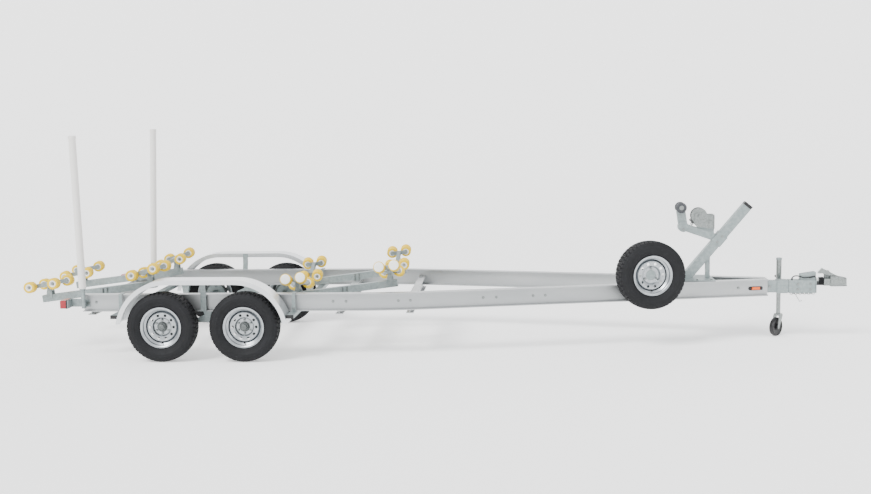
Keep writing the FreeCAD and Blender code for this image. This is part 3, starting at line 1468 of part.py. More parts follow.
nodes = build()
ends = [node.optimalBoundingBox() for node in nodes.values()]
footprint_middle = (min(box.XMin for box in ends) + max(box.XMax for box in ends)) / 2
os.makedirs("parts", exist_ok=True)
for name, shape in nodes.items():
    shape.translate(Vector(-footprint_middle, 0, 0))
    shape.exportStep(f"parts/{name}.step")
print(len(nodes), "nodes, footprint middle", round(footprint_middle, 3))
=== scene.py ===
import json
import math
import bpy
from mathutils import Matrix, Vector


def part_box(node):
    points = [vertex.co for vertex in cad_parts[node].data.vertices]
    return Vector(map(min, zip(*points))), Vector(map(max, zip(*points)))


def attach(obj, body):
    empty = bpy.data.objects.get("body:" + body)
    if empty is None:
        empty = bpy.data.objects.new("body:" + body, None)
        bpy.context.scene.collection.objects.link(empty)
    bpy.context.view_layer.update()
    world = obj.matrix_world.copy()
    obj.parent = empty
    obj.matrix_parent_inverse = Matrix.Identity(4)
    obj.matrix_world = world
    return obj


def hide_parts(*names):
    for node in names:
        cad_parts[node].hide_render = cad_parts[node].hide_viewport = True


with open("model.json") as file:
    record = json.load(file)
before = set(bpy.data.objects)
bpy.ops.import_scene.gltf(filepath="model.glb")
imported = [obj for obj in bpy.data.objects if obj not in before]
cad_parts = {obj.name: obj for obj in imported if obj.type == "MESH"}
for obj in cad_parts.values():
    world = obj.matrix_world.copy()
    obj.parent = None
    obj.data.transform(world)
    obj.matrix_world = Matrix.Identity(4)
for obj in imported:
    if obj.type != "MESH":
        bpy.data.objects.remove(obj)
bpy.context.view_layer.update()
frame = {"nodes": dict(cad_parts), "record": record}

# Camera at the photograph's viewpoint: a little above the rails, on the trailer's
# right side, with a lens whose field of view was solved from the wheels and rails.
# Places along the trailer are counted from the middle between the two axles.
rear_tyre_low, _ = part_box("tyre_rear_right")
_, front_tyre_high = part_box("tyre_front_right")
axle_middle_x = (rear_tyre_low.x + front_tyre_high.x) / 2


def place(x, y, z):
    """A point, from its distance ahead of the middle between the axles, to the left and up."""
    return Vector((axle_middle_x + x, y, z))


camera_spot = place(3.1836, -13.6940, 2.5486)
camera_yaw, camera_pitch, camera_roll = 0.064340, 0.110604, -0.013470
film_width = 36.0
lens_length = 52.13
view_reach = 400.0
ahead = Vector((-math.sin(camera_yaw) * math.cos(camera_pitch),
                math.cos(camera_yaw) * math.cos(camera_pitch), -math.sin(camera_pitch)))
level_right = Vector((math.cos(camera_yaw), math.sin(camera_yaw), 0))
level_up = level_right.cross(ahead)
right = math.cos(camera_roll) * level_right + math.sin(camera_roll) * level_up
up = math.cos(camera_roll) * level_up - math.sin(camera_roll) * level_right
bpy.ops.object.select_all(action="DESELECT")
bpy.ops.object.camera_add(location=camera_spot,
                          rotation=Matrix((right, up, -ahead)).transposed().to_euler())
camera = bpy.context.object
camera.name = "photo_camera"
camera.data.sensor_width = film_width
camera.data.lens = lens_length
camera.data.clip_end = view_reach
bpy.context.scene.camera = camera

# Studio: a pale floor that turns up into a wall behind, both faintly self-lit as a
# lit paper sweep is, under a soft surround, with a broad key lamp and a fill in front.


def srgb(code):
    """A six-digit sRGB hex colour as linear red, green, blue and alpha."""
    linear = []
    for start in (0, 2, 4):
        part = int(code[start:start + 2], 16) / 255
        linear.append(part / 12.92 if part <= 0.04045 else ((part + 0.055) / 1.055) ** 2.4)
    return (*linear, 1.0)


def add_node(material, kind, inputs, **properties):
    """Add a shader node with its properties, and set or link each of its inputs."""
    node = material.node_tree.nodes.new(kind)
    for name, value in properties.items():
        setattr(node, name, value)
    for name, value in inputs.items():
        if isinstance(value, bpy.types.NodeSocket):
            material.node_tree.links.new(value, node.inputs[name])
        else:
            node.inputs[name].default_value = value
    return node


def start_material(name, **sockets):
    """A material and its shader, with some of its sockets set; their names use _ for a space."""
    material = bpy.data.materials.new(name)
    material.use_nodes = True
    shader = material.node_tree.nodes["Principled BSDF"]
    for key, value in sockets.items():
        shader.inputs[key.replace("_", " ")].default_value = value
    return material, shader


floor_width = 200.0
floor_depth = 160.0
wall_distance = 18.0
sweep_radius = 40.0
sweep_steps = 48
# Matt photographic paper scatters all its light, so the floor shows no highlight.
floor_paper, _ = start_material("pale_sweep_paper", Base_Color=srgb("F1F1F0"), Roughness=0.95,
                                Emission_Color=srgb("FFFFFF"), Emission_Strength=0.5)
bpy.ops.mesh.primitive_plane_add(size=1, location=(0, wall_distance - floor_depth / 2, 0))
floor = bpy.context.object
floor.name = "studio_floor"
bpy.ops.object.mode_set(mode="EDIT")
bpy.ops.transform.resize(value=(floor_width, floor_depth, 1))
bpy.ops.mesh.select_mode(type="EDGE")
bpy.ops.mesh.select_all(action="DESELECT")
bpy.ops.object.mode_set(mode="OBJECT")
for edge in floor.data.edges:
    edge.select = all(floor.data.vertices[corner].co.y > 0 for corner in edge.vertices)
bpy.ops.object.mode_set(mode="EDIT")
bpy.ops.mesh.spin(steps=sweep_steps, angle=-math.pi / 2, center=(0, wall_distance, sweep_radius),
                  axis=(1, 0, 0))
bpy.ops.mesh.select_mode(type="VERT")
bpy.ops.object.mode_set(mode="OBJECT")
bpy.ops.object.transform_apply(location=True)
bpy.ops.object.shade_smooth()
floor.data.materials.append(floor_paper)
world = bpy.data.worlds.new("studio_surround")
bpy.context.scene.world = world
world.use_nodes = True
world.node_tree.nodes["Background"].inputs["Color"].default_value = srgb("FBFCFF")
world.node_tree.nodes["Background"].inputs["Strength"].default_value = 1.3
key_place, fill_place = (-9.0, -11.0, 14.0), (8.0, -6.0, 7.0)
bpy.ops.object.light_add(type="SUN", location=key_place)
key_lamp = bpy.context.object
key_lamp.name = "key_lamp"
key_lamp.data.energy = 4.5
key_lamp.data.angle = math.radians(24)
bpy.ops.object.light_add(type="AREA", location=fill_place)
fill_lamp = bpy.context.object
fill_lamp.name = "fill_lamp"
fill_lamp.data.size = 6.0
fill_lamp.data.energy = 250.0
for lamp in (key_lamp, fill_lamp):
    lamp.rotation_euler = (lamp.location * -1).to_track_quat("-Z", "Y").to_euler()

# Rails and crossmembers: I-beams extruded in aluminium and left as the die leaves
# them, satin, with faint lines along their length. Hex bolts join them through the webs.
bodies = frame["record"]["behaviour"]["bodies"]
body_of = {node: body for body, members in bodies.items() for node in members}
slot_of = {part["node"]: part["material_slot"] for part in frame["record"]["subparts"]}


def wired(material, shader, **sources):
    """Link sources to the shader's sockets, and return the material; names use _ for a space."""
    for key, source in sources.items():
        material.node_tree.links.new(source, shader.inputs[key.replace("_", " ")])
    return material


def weathered(name, light, dark, patch, grain, gloss, relief, stretch=(1, 1, 1), **sockets):
    """Two close colours in patches, with a finer grain in the gloss and relief; sizes in metres.

    Each grain is a few millimetres, coarser than the real one, as it needs to be to show.
    """
    material, shader = start_material(name, **sockets)
    surface = add_node(material, "ShaderNodeTexCoord", {})
    run = add_node(material, "ShaderNodeMapping",
                   {"Vector": surface.outputs["Object"], "Scale": stretch})
    patches = add_node(material, "ShaderNodeTexNoise",
                       {"Vector": run.outputs["Vector"], "Scale": 1 / patch, "Detail": 4.0,
                        "Roughness": 0.6})
    spread = add_node(material, "ShaderNodeMapRange",
                      {"Value": patches.outputs[0], "From Min": 0.3, "From Max": 0.7})
    colour = add_node(material, "ShaderNodeMix",
                      {0: spread.outputs[0], 6: srgb(light), 7: srgb(dark)}, data_type="RGBA")
    specks = add_node(material, "ShaderNodeTexNoise",
                      {"Vector": run.outputs["Vector"], "Scale": 1 / grain, "Detail": 3.0})
    shine = add_node(material, "ShaderNodeMapRange",
                     {"Value": specks.outputs[0], "From Min": 0.3, "From Max": 0.7,
                      "To Min": gloss[0], "To Max": gloss[1]})
    raised = add_node(material, "ShaderNodeBump",
                      {"Height": specks.outputs[0], "Strength": 0.5, "Distance": relief})
    return wired(material, shader, Base_Color=colour.outputs[2], Roughness=shine.outputs[0],
                 Normal=raised.outputs["Normal"])


def select_only(*pieces):
    """Select these pieces and no others, with the first one active."""
    bpy.ops.object.select_all(action="DESELECT")
    for piece in pieces:
        piece.select_set(True)
    bpy.context.view_layer.objects.active = pieces[0]


def finished(piece, name, material, body, slot, *nodes):
    """Name a piece and give it its finish and body; it stands for the CAD nodes named. The slot is not
    used.
    """
    piece.name = name
    piece.data.materials.clear()
    piece.data.materials.append(material)
    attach(piece, body)
    if nodes:
        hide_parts(*nodes)
    return piece


def dressed(node, material, smooth=32.0, edge=0.0):
    """A CAD node's copy, merged and smoothed, with its sharp edges eased where edge is a width."""
    piece = bpy.data.objects.new(node, frame["nodes"][node].data.copy())
    bpy.context.scene.collection.objects.link(piece)
    select_only(piece)
    if piece.data.has_custom_normals:
        bpy.ops.mesh.customdata_custom_splitnormals_clear()
    bpy.ops.object.mode_set(mode="EDIT")
    bpy.ops.mesh.select_all(action="SELECT")
    bpy.ops.mesh.remove_doubles(threshold=0.00002)
    if edge:
        bpy.ops.mesh.dissolve_limited(angle_limit=math.radians(0.5))
    bpy.ops.object.mode_set(mode="OBJECT")
    if edge:
        bevel = piece.modifiers.new("eased_edges", "BEVEL")
        bevel.width = edge
        bevel.segments = 2
        bevel.limit_method = "ANGLE"
        bevel.angle_limit = math.radians(50)
        bpy.ops.object.modifier_apply(modifier=bevel.name)
    bpy.ops.object.shade_smooth_by_angle(angle=math.radians(smooth))
    even = piece.modifiers.new("even_shading", "WEIGHTED_NORMAL")
    even.keep_sharp = True
    bpy.ops.object.modifier_apply(modifier=even.name)
    return finished(piece, node + "_finish", material, body_of[node], slot_of[node], node)


def turned_piece(profile, steps, ring=False, smooth=40.0):
    """Turn (radius, height) points about the Z axis by extruding a circle from one to the next."""
    radius, height = profile[0]
    bpy.ops.object.select_all(action="DESELECT")
    bpy.ops.mesh.primitive_circle_add(vertices=steps, radius=radius, location=(0, 0, height),
                                      fill_type="NOTHING" if ring else "NGON")
    piece = bpy.context.object
    bpy.ops.object.transform_apply(location=True)
    bpy.ops.object.mode_set(mode="EDIT")
    bpy.ops.mesh.select_mode(type="VERT")
    bpy.ops.mesh.select_all(action="SELECT")
    for next_radius, next_height in profile[1:]:
        rise = (0, 0, next_height - height)
        bpy.ops.mesh.extrude_region_move(TRANSFORM_OT_translate={"value": rise})
        share = next_radius / radius
        bpy.ops.transform.resize(value=(share, share, 1), center_override=(0, 0, next_height))
        radius, height = next_radius, next_height
    if ring:
        bpy.ops.mesh.select_mode(type="EDGE")
        bpy.ops.mesh.select_all(action="DESELECT")
        bpy.ops.mesh.select_non_manifold()
        bpy.ops.mesh.bridge_edge_loops()
    bpy.ops.mesh.select_all(action="SELECT")
    bpy.ops.mesh.normals_make_consistent(inside=False)
    bpy.ops.object.mode_set(mode="OBJECT")
    bpy.ops.object.shade_smooth_by_angle(angle=math.radians(smooth))
    return piece


def joined(*pieces):
    """Join pieces in the first one's mesh."""
    select_only(*pieces)
    bpy.ops.object.join()
    return bpy.context.object


def copied(pattern, poses):
    """Copies of a pattern piece, one at each pose, joined in one mesh."""
    copies = []
    for pose in poses:
        mesh = pattern.data.copy()
        mesh.transform(pose)
        copies.append(bpy.data.objects.new(pattern.name, mesh))
        bpy.context.scene.collection.objects.link(copies[-1])
    return joined(*copies)


def facing(point, direction):
    """A pose at a point with Z along a direction."""
    return Matrix.Translation(point) @ Vector(direction).to_track_quat("Z", "Y").to_matrix().to_4x4()


def seat(piece, start, direction):
    """The pose where a line from a point first meets a piece, with Z out of the face it meets."""
    bpy.context.view_layer.update()
    hit, point, normal, _ = piece.ray_cast(start, Vector(direction))
    if not hit:
        raise RuntimeError(f"nothing to sit on at {tuple(start)} on {piece.name}")
    return facing(point, normal)


# Mill-finish aluminium is a satin light grey. Its die lines run along X on the rails and
# are drawn 4 mm apart, as coarse as they need to show.
mill_aluminium = weathered("mill_finish_aluminium", "B8BABA", "A6A9AA", patch=0.35, grain=0.004,
                           gloss=(0.34, 0.5), relief=0.0002, stretch=(0.02, 1, 1), Metallic=0.85)
rails = {side: dressed(f"rail_{side}", mill_aluminium) for side in ("right", "left")}
dressed("crossmembers", mill_aluminium)

# Web bolts: zinc-plated hex bolts, 18 mm across the flats on a round washer, which hold
# the crossmembers and brackets to the rails. Bright zinc plate is a cool, fairly shiny
# grey, clouded over 12 mm where it has dulled.
bright_zinc = weathered("bright_zinc_plate", "9CA19F", "787D7C", patch=0.012, grain=0.003,
                        gloss=(0.25, 0.42), relief=0.0001, Metallic=1.0)
bolt_washer = turned_piece([(0.0145, 0.0), (0.0145, 0.0026)], 24)
bolt_head = turned_piece([(0.0098, 0.0026), (0.0104, 0.0034), (0.0104, 0.0096), (0.0092, 0.0106)], 6,
                         smooth=20)
hex_bolt = joined(bolt_washer, bolt_head)
hex_bolt.name = "hex_bolt"
web_bolt_places = (1.302, 1.436, 1.972, 2.095, 2.839, 2.975, 3.356, 3.484, 5.555, -1.252, -1.178)
web_bolt_height = 0.578
outside_y = 1.2
web_poses = []
for side, sign in (("right", -1), ("left", 1)):
    for x in web_bolt_places:
        start = place(x, sign * outside_y, web_bolt_height)
        web_poses.append(seat(rails[side], start, (0, -sign, 0)))
finished(copied(hex_bolt, web_poses), "web_bolts", bright_zinc, "frame", "zinc_steel")

# Axles, springs and hangers: square tubes on packs of leaves, hung under the rails from
# hangers with an equalizer between the axles. Hot-dip galvanising leaves the steel a matt
# blue-grey with soft spangles about 30 mm across; the packs' near black is painted shade.
galvanised = weathered("hot_dip_galvanised_steel", "9AA4A4", "858F8F", patch=0.03, grain=0.006,
                       gloss=(0.42, 0.60), relief=0.0002, Metallic=0.75)
# Painted shade: the leaf packs are coloured near black for the shade they hang in under the rails.
shade_painted_leaves = weathered("painted_shade_leaf_springs", "303236", "1C1E21", patch=0.08, grain=0.004,
                       gloss=(0.45, 0.7), relief=0.0003)
dressed("axles", galvanised, edge=0.002)
dressed("spring_hangers", galvanised)
dressed("leaf_springs", shade_painted_leaves)

# Rims and hubs: pressed steel wheels, galvanised a light satin grey, over cast brake
# drums with a pressed grease cap. Six zinc lug nuts hold each, and a rubber valve stands in it.

# Satin zinc makes the wheels brighter than dipped steel, with broad highlights.
wheel_steel = weathered("satin_galvanised_wheel", "B4B8BB", "9DA2A5", patch=0.025, grain=0.005,
                        gloss=(0.26, 0.42), relief=0.0002, Metallic=0.95)
# Sand-cast iron under a thin zinc coat is rougher and darker.
cast_drum = weathered("cast_drum_with_zinc_coat", "7C8180", "4E5252", patch=0.02, grain=0.003,
                      gloss=(0.5, 0.7), relief=0.0004, Metallic=0.7)
# Moulded rubber on the valve stems is a dull black.
valve_rubber = weathered("black_valve_rubber", "18181A", "101012", patch=0.01, grain=0.002,
                         gloss=(0.5, 0.7), relief=0.0001)
lug_count = 6
lug_circle = 0.0698
first_lug_angle = math.radians(30)
valve_drop = 0.155
valve_lean = 0.35
reach_out = 0.2
lug_nut = turned_piece([(0.0085, 0.0), (0.0118, 0.003), (0.0118, 0.016), (0.009, 0.0195),
                        (0.004, 0.0205)], 6, smooth=20)
lug_nut.name = "lug_nut"
valve = turned_piece([(0.0058, -0.012), (0.0058, 0.004), (0.0042, 0.008), (0.0042, 0.026),
                      (0.0048, 0.028), (0.0048, 0.036), (0.003, 0.037)], 16)
valve.name = "valve"
wheel_places = {}
for node in sorted(frame["nodes"]):
    if node.startswith("tyre_") or node == "spare_tyre":
        low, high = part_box(node)
        wheel_places[node] = (low + high) / 2
for node in sorted(frame["nodes"]):
    if not node.startswith("rim_"):
        continue
    whole = dressed(node, wheel_steel)
    select_only(whole)
    bpy.ops.object.mode_set(mode="EDIT")
    bpy.ops.mesh.select_all(action="SELECT")
    bpy.ops.mesh.separate(type="LOOSE")
    bpy.ops.object.mode_set(mode="OBJECT")
    # The widest loose part is the pressed wheel; the others are its hub and drum.
    parts = sorted(bpy.context.selected_objects, key=lambda part: max(part.dimensions))
    disc = parts[-1]
    disc.name = node + "_finish"
    body = body_of[node]
    for part in parts[:-1]:
        finished(part, node + "_hub", cast_drum, body, "rim_steel", node)
    centre = wheel_places[node.replace("rim_", "tyre_")]
    sign = 1 if centre.y > 0 else -1
    nut_poses = []
    for number in range(lug_count):
        angle = first_lug_angle + number * math.tau / lug_count
        spot = centre + Vector((lug_circle * math.cos(angle), sign * reach_out,
                                lug_circle * math.sin(angle)))
        nut_poses.append(seat(disc, spot, (0, -sign, 0)))
    finished(copied(lug_nut, nut_poses), node + "_nuts", bright_zinc, body, "zinc_steel")
    stem = seat(disc, centre + Vector((0.0, sign * reach_out, -valve_drop)), (0, -sign, 0))
    valve_poses = [facing(stem.translation, (0, sign, -valve_lean))]
    finished(copied(valve, valve_poses), node + "_valve", valve_rubber, body, "tyre")

# Tyres: radial trailer tyres, moulded with four grooves round the tread, slots across its
# ribs and steps on the sidewall; each is turned, then cut. Cured tyre rubber is a matt,
# very dark grey with hardly any highlight.
tyre_rubber = weathered("matte_black_tyre_rubber", "131417", "0D0E10", patch=0.06, grain=0.003,
                        gloss=(0.62, 0.85), relief=0.0004, Specular_IOR_Level=0.3)
tyre_radius = 0.357
tread_half = 0.088
groove_places = (-0.054, -0.018, 0.018, 0.054)
groove_depth = 0.0075
groove_half = 0.0045
rib_depth = 0.0068
middle_rib_half = 0.0135
side_rib = (0.0235, 0.0485)
shoulder = (0.060, 0.1005)
shoulder_radius = 0.3385
tyre_steps = 240
slot_every = 5
slot_depth = 0.0055
tyre_side = [(0.2095, 0.078), (0.2145, 0.0835), (0.222, 0.0865), (0.2235, 0.0905), (0.232, 0.0965),
             (0.234, 0.0955), (0.250, 0.1025), (0.272, 0.1090), (0.274, 0.1105), (0.292, 0.1112),
             (0.303, 0.1112), (0.305, 0.1098), (0.318, 0.1060), (0.325, 0.1030), (0.3265, 0.1040),
             (0.3305, 0.1015), (0.338, 0.0975), (0.345, 0.0930), (0.350, 0.0885)]
crown = 0.006
tread_line = []
for groove in groove_places:
    for across, cut in ((-groove_half, 0.0), (-groove_half * 0.6, groove_depth),
                        (groove_half * 0.6, groove_depth), (groove_half, 0.0)):
        height = groove + across
        tread_line.append((tyre_radius - crown * (height / tread_half) ** 2 - cut, height))
near_side = [(radius, -height) for radius, height in tyre_side]
far_side = [(radius, height) for radius, height in reversed(tyre_side)]
tyre = turned_piece(near_side + tread_line + far_side, tyre_steps, ring=True, smooth=28)
tyre.name = "tyre_pattern"


def pick_faces(piece, test):
    """Enter edit mode with the faces that pass a test selected."""
    select_only(piece)
    bpy.ops.object.mode_set(mode="EDIT")
    bpy.ops.mesh.select_mode(type="FACE")
    bpy.ops.mesh.select_all(action="DESELECT")
    bpy.ops.object.mode_set(mode="OBJECT")
    for polygon in piece.data.polygons:
        polygon.select = test(polygon)
    bpy.ops.object.mode_set(mode="EDIT")


def in_slot(face):
    """True on every fifth step of the ribs and of the shoulders, which are staggered."""
    step = math.tau / tyre_steps
    turn = round(math.atan2(face.center.y, face.center.x) / step - 0.5) % tyre_steps
    reach = math.hypot(face.center.x, face.center.y)
    band = abs(face.center.z)
    on_rib = side_rib[0] < band < side_rib[1] or band < middle_rib_half
    in_rib = on_rib and reach > tyre_radius - rib_depth
    in_shoulder = shoulder[0] < band < shoulder[1] and reach > shoulder_radius
    return (in_rib or in_shoulder) and (turn + (2 if in_rib else 0)) % slot_every == 0


pick_faces(tyre, in_slot)
bpy.ops.mesh.extrude_region_shrink_fatten(TRANSFORM_OT_shrink_fatten={"value": -slot_depth})
bpy.ops.object.mode_set(mode="OBJECT")
for node, centre in wheel_places.items():
    if node == "spare_tyre":
        continue
    pose = Matrix.Translation(centre) @ Matrix.Rotation(math.radians(90), 4, "X")
    finished(copied(tyre, [pose]), node + "_finish", tyre_rubber, body_of[node], "tyre", node)

# Fenders: folded aluminium sheet with a lip round both wheels, carried at their tips on
# galvanised tubes under the rails and strapped to each rail at the middle.

# Bright rolled sheet is lighter and smoother than the rails, with broad, faint streaks.
fender_sheet = weathered("bright_rolled_aluminium_sheet", "E2E4E5", "CFD2D4", patch=0.5, grain=0.003,
                         gloss=(0.26, 0.38), relief=0.0001, stretch=(0.05, 1, 1), Metallic=0.9)
# Moulded black plastic, here for the plugs in the tube ends, has a half-matt sheen.
black_cap = weathered("black_moulded_plastic", "141416", "0E0E10", patch=0.05, grain=0.002,
                      gloss=(0.4, 0.55), relief=0.0001)
for side in ("right", "left"):
    dressed(f"fender_{side}", fender_sheet, smooth=25)
dressed("fender_supports", galvanised, edge=0.002)
support_low, support_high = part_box("fender_supports")
tube_places = (-0.9037, 0.9037)
tube_height = 0.467
cap_plug = turned_piece([(0.046, 0.0), (0.0525, 0.0005), (0.0525, 0.003), (0.050, 0.0045)], 4,
                        smooth=20)
cap_plug.name = "tube_cap"
cap_poses = []
# The plug is turned with four sides, so it is set square and squashed to the flat tube.
squash = Matrix.Diagonal((1.0, 0.5, 1.0, 1.0))
flat = Matrix.Rotation(math.radians(45), 4, "Z")
for x in tube_places:
    for sign in (-1, 1):
        end = place(x, support_high.y if sign > 0 else support_low.y, tube_height)
        outward = Matrix.Rotation(math.radians(-90 * sign), 4, "X")
        cap_poses.append(Matrix.Translation(end) @ outward @ squash @ flat)
finished(copied(cap_plug, cap_poses), "support_caps", black_cap, "frame", "black_plastic")
bpy.data.objects.remove(cap_plug)

# Tube straps: flats of galvanised steel, bent over each rail to hold the fender tubes up
# to it, with a bolt through each foot.
strap_width, strap_plate = 0.036, 0.006
strap_span = 0.114
strap_height = 0.667
strap_drop = 0.176
foot_height = 0.515
rail_middle_y = 0.968
bpy.ops.object.select_all(action="DESELECT")
bpy.ops.mesh.primitive_cube_add(size=1, location=(0, 0, strap_height))
strap = bpy.context.object
strap.name = "tube_strap"
bpy.ops.object.transform_apply(location=True)
bpy.ops.object.mode_set(mode="EDIT")
bpy.ops.transform.resize(value=(strap_width, strap_span, strap_plate),
                         center_override=(0, 0, strap_height))
bpy.ops.object.mode_set(mode="OBJECT")
for sign in (-1, 1):
    pick_faces(strap, lambda face: (face.normal.y * sign > 0.9
                                    and face.center.z > strap_height - strap_plate))
    bpy.ops.mesh.extrude_region_move(TRANSFORM_OT_translate={"value": (0, sign * strap_plate, 0)})
    bpy.ops.object.mode_set(mode="OBJECT")
    pick_faces(strap, lambda face: face.normal.z < -0.9 and face.center.y * sign > strap_span / 2)
    bpy.ops.mesh.extrude_region_move(TRANSFORM_OT_translate={"value": (0, 0, -strap_drop)})
    bpy.ops.object.mode_set(mode="OBJECT")
select_only(strap)
bpy.ops.object.mode_set(mode="EDIT")
bpy.ops.mesh.select_all(action="SELECT")
bpy.ops.mesh.remove_doubles(threshold=0.00001)
bpy.ops.mesh.normals_make_consistent(inside=False)
bpy.ops.object.mode_set(mode="OBJECT")
bend = strap.modifiers.new("bent_edges", "BEVEL")
bend.width = 0.0012
bend.segments = 2
bpy.ops.object.modifier_apply(modifier=bend.name)
strap_poses = []
foot_poses = []
for x in tube_places:
    for sign in (-1, 1):
        strap_poses.append(Matrix.Translation(place(x, sign * rail_middle_y, 0)))
        for foot in (-1, 1):
            foot_y = sign * rail_middle_y + foot * (strap_span / 2 + strap_plate)
            foot_poses.append(facing(place(x, foot_y, foot_height), (0, foot, 0)))
finished(copied(strap, strap_poses), "tube_straps", galvanised, "frame", "galvanised_steel")
finished(copied(hex_bolt, foot_poses), "strap_bolts", bright_zinc, "frame", "zinc_steel")
bpy.data.objects.remove(strap)

# Guide posts: sleeves of white extruded plastic, pushed over galvanised pipes that two
# bolts each clamp to the rails. The plastic has a soft gloss, with faint marks lengthwise.
white_sleeve = weathered("white_extruded_plastic", "E6E4E0", "DAD8D4", patch=0.4, grain=0.004,
                         gloss=(0.3, 0.42), relief=0.0001, stretch=(1, 1, 0.05))
dressed("guide_posts", white_sleeve)
brackets = dressed("rear_brackets", galvanised)
clamp_places = ((-1.288, -1), (-1.150, 1))
clamp_bolt_offset = 0.032
clamp_start_y, clamp_height = 1.04, 0.57
clamp_poses = []
for x, sign in clamp_places:
    for along in (-clamp_bolt_offset, clamp_bolt_offset):
        start = place(x + along, sign * clamp_start_y, clamp_height)
        clamp_poses.append(seat(brackets, start, (0, -sign, 0)))
finished(copied(hex_bolt, clamp_poses), "clamp_bolts", bright_zinc, "frame", "zinc_steel")

# Tail lamps: lenses of clear crimson plastic, moulded with ribs, on black bases bolted to
# the brackets at the rear ends of the rails.


def ribbed_lens(name, colour, painted_glow, gloss, rib_scale, direction):
    """Clear coloured plastic with moulded ribs, and a faint painted glow that stands in for the light
    they send back.
    """
    material, shader = start_material(name, Base_Color=srgb(colour), Roughness=gloss,
                                      Coat_Weight=0.3, Coat_Roughness=0.05,
                                      Emission_Color=srgb(painted_glow), Emission_Strength=0.15)
    surface = add_node(material, "ShaderNodeTexCoord", {})
    ribs = add_node(material, "ShaderNodeTexWave",
                    {"Vector": surface.outputs["Object"], "Scale": rib_scale},
                    bands_direction=direction)
    ridges = add_node(material, "ShaderNodeBump",
                      {"Height": ribs.outputs["Fac"], "Strength": 0.4, "Distance": 0.001})
    return wired(material, shader, Normal=ridges.outputs["Normal"])


def eased_box(middle, size, rounding):
    """A box with rounded edges, from its middle and its size."""
    bpy.ops.object.select_all(action="DESELECT")
    bpy.ops.mesh.primitive_cube_add(size=1, location=middle)
    box = bpy.context.object
    bpy.ops.object.mode_set(mode="EDIT")
    bpy.ops.transform.resize(value=size, center_override=middle)
    bpy.ops.mesh.bevel(offset=rounding, segments=3, affect="EDGES")
    bpy.ops.object.mode_set(mode="OBJECT")
    bpy.ops.object.transform_apply(location=True)
    bpy.ops.object.shade_smooth_by_angle(angle=math.radians(35))
    return box


# Ribs about 8 mm apart make the clear red deep, and a faint painted glow lights it a little.
crimson_lens = ribbed_lens("clear_crimson_lens", "8A0014", "C0001C", 0.12, 40.0, "Y")
dressed("tail_lamps", crimson_lens)
lamp_low, lamp_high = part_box("tail_lamps")
lamp_half_width = 0.075
base_size = (0.016, 0.156, 0.090)
base_rounding = 0.005
for sign in (-1, 1):
    outer_y = lamp_high.y if sign > 0 else -lamp_low.y
    base_middle = (lamp_high.x - base_size[0] / 2, sign * (outer_y - lamp_half_width),
                   (lamp_low.z + lamp_high.z) / 2)
    base = eased_box(base_middle, base_size, base_rounding)
    finished(base, "tail_lamp_base_" + ("left" if sign > 0 else "right"), black_cap, "frame",
             "black_plastic")

# Side markers: lenses of clear amber plastic, moulded with ribs, on long black bases that
# are fixed to the rails' webs near the nose. Its ribs are 6 mm apart, and a faint painted glow lights
# the amber orange.
amber_lens = ribbed_lens("clear_amber_lens", "D45400", "FF7400", 0.14, 50.0, "X")


def parted(piece, test):
    """Take the faces that pass a test out of a piece, as a piece of their own."""
    pick_faces(piece, test)
    bpy.ops.mesh.separate(type="SELECTED")
    bpy.ops.object.mode_set(mode="OBJECT")
    return next(part for part in bpy.context.selected_objects if part is not piece)


marker_low, marker_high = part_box("side_markers")
markers = dressed("side_markers", amber_lens)
marker_z = (marker_low.z + marker_high.z) / 2
marker_x = (marker_low.x + marker_high.x) / 2
lens_half_height = 0.0163
lens_half_length = 0.0455


def beside_lens(face):
    return (abs(face.center.z - marker_z) > lens_half_height
            or abs(face.center.x - marker_x) > lens_half_length)


finished(parted(markers, beside_lens), "marker_bases", black_cap, "frame", "amber_lens",
         "side_markers")

# Cradle arms: square galvanised tubes on saddles over the crossmembers, held down by
# zinc-plated U-bolts with nuts under them. Each has cheeks with a pin for two roller cradles.
dressed("cradle_arms", galvanised, edge=0.0025)


def bent_rod(radius, points, bend, sides=10):
    """A round bar through points, with bends of one radius between them, extruded and spun."""
    points = [Vector(point) for point in points]
    spot = points[0]
    way = (points[1] - spot).normalized()
    bpy.ops.object.select_all(action="DESELECT")
    bpy.ops.mesh.primitive_circle_add(vertices=sides, radius=radius, fill_type="NGON", location=spot,
                                      rotation=way.to_track_quat("Z", "Y").to_euler())
    bar = bpy.context.object
    bpy.ops.object.transform_apply(location=True, rotation=True)
    bpy.ops.object.mode_set(mode="EDIT")
    bpy.ops.mesh.select_all(action="SELECT")
    for corner, after in zip(points[1:-1], points[2:]):
        onward = (after - corner).normalized()
        turn = way.angle(onward)
        tangent = corner - way * bend * math.tan(turn / 2)
        bpy.ops.mesh.extrude_region_move(TRANSFORM_OT_translate={"value": tangent - spot})
        axis = way.cross(onward).normalized()
        bpy.ops.mesh.spin(steps=6, angle=turn, center=tangent + axis.cross(way) * bend, axis=axis)
        spot = corner + onward * bend * math.tan(turn / 2)
        way = onward
    bpy.ops.mesh.extrude_region_move(TRANSFORM_OT_translate={"value": points[-1] - spot})
    bpy.ops.mesh.select_all(action="SELECT")
    bpy.ops.mesh.normals_make_consistent(inside=False)
    bpy.ops.object.mode_set(mode="OBJECT")
    bpy.ops.object.shade_smooth_by_angle(angle=math.radians(50))
    return bar


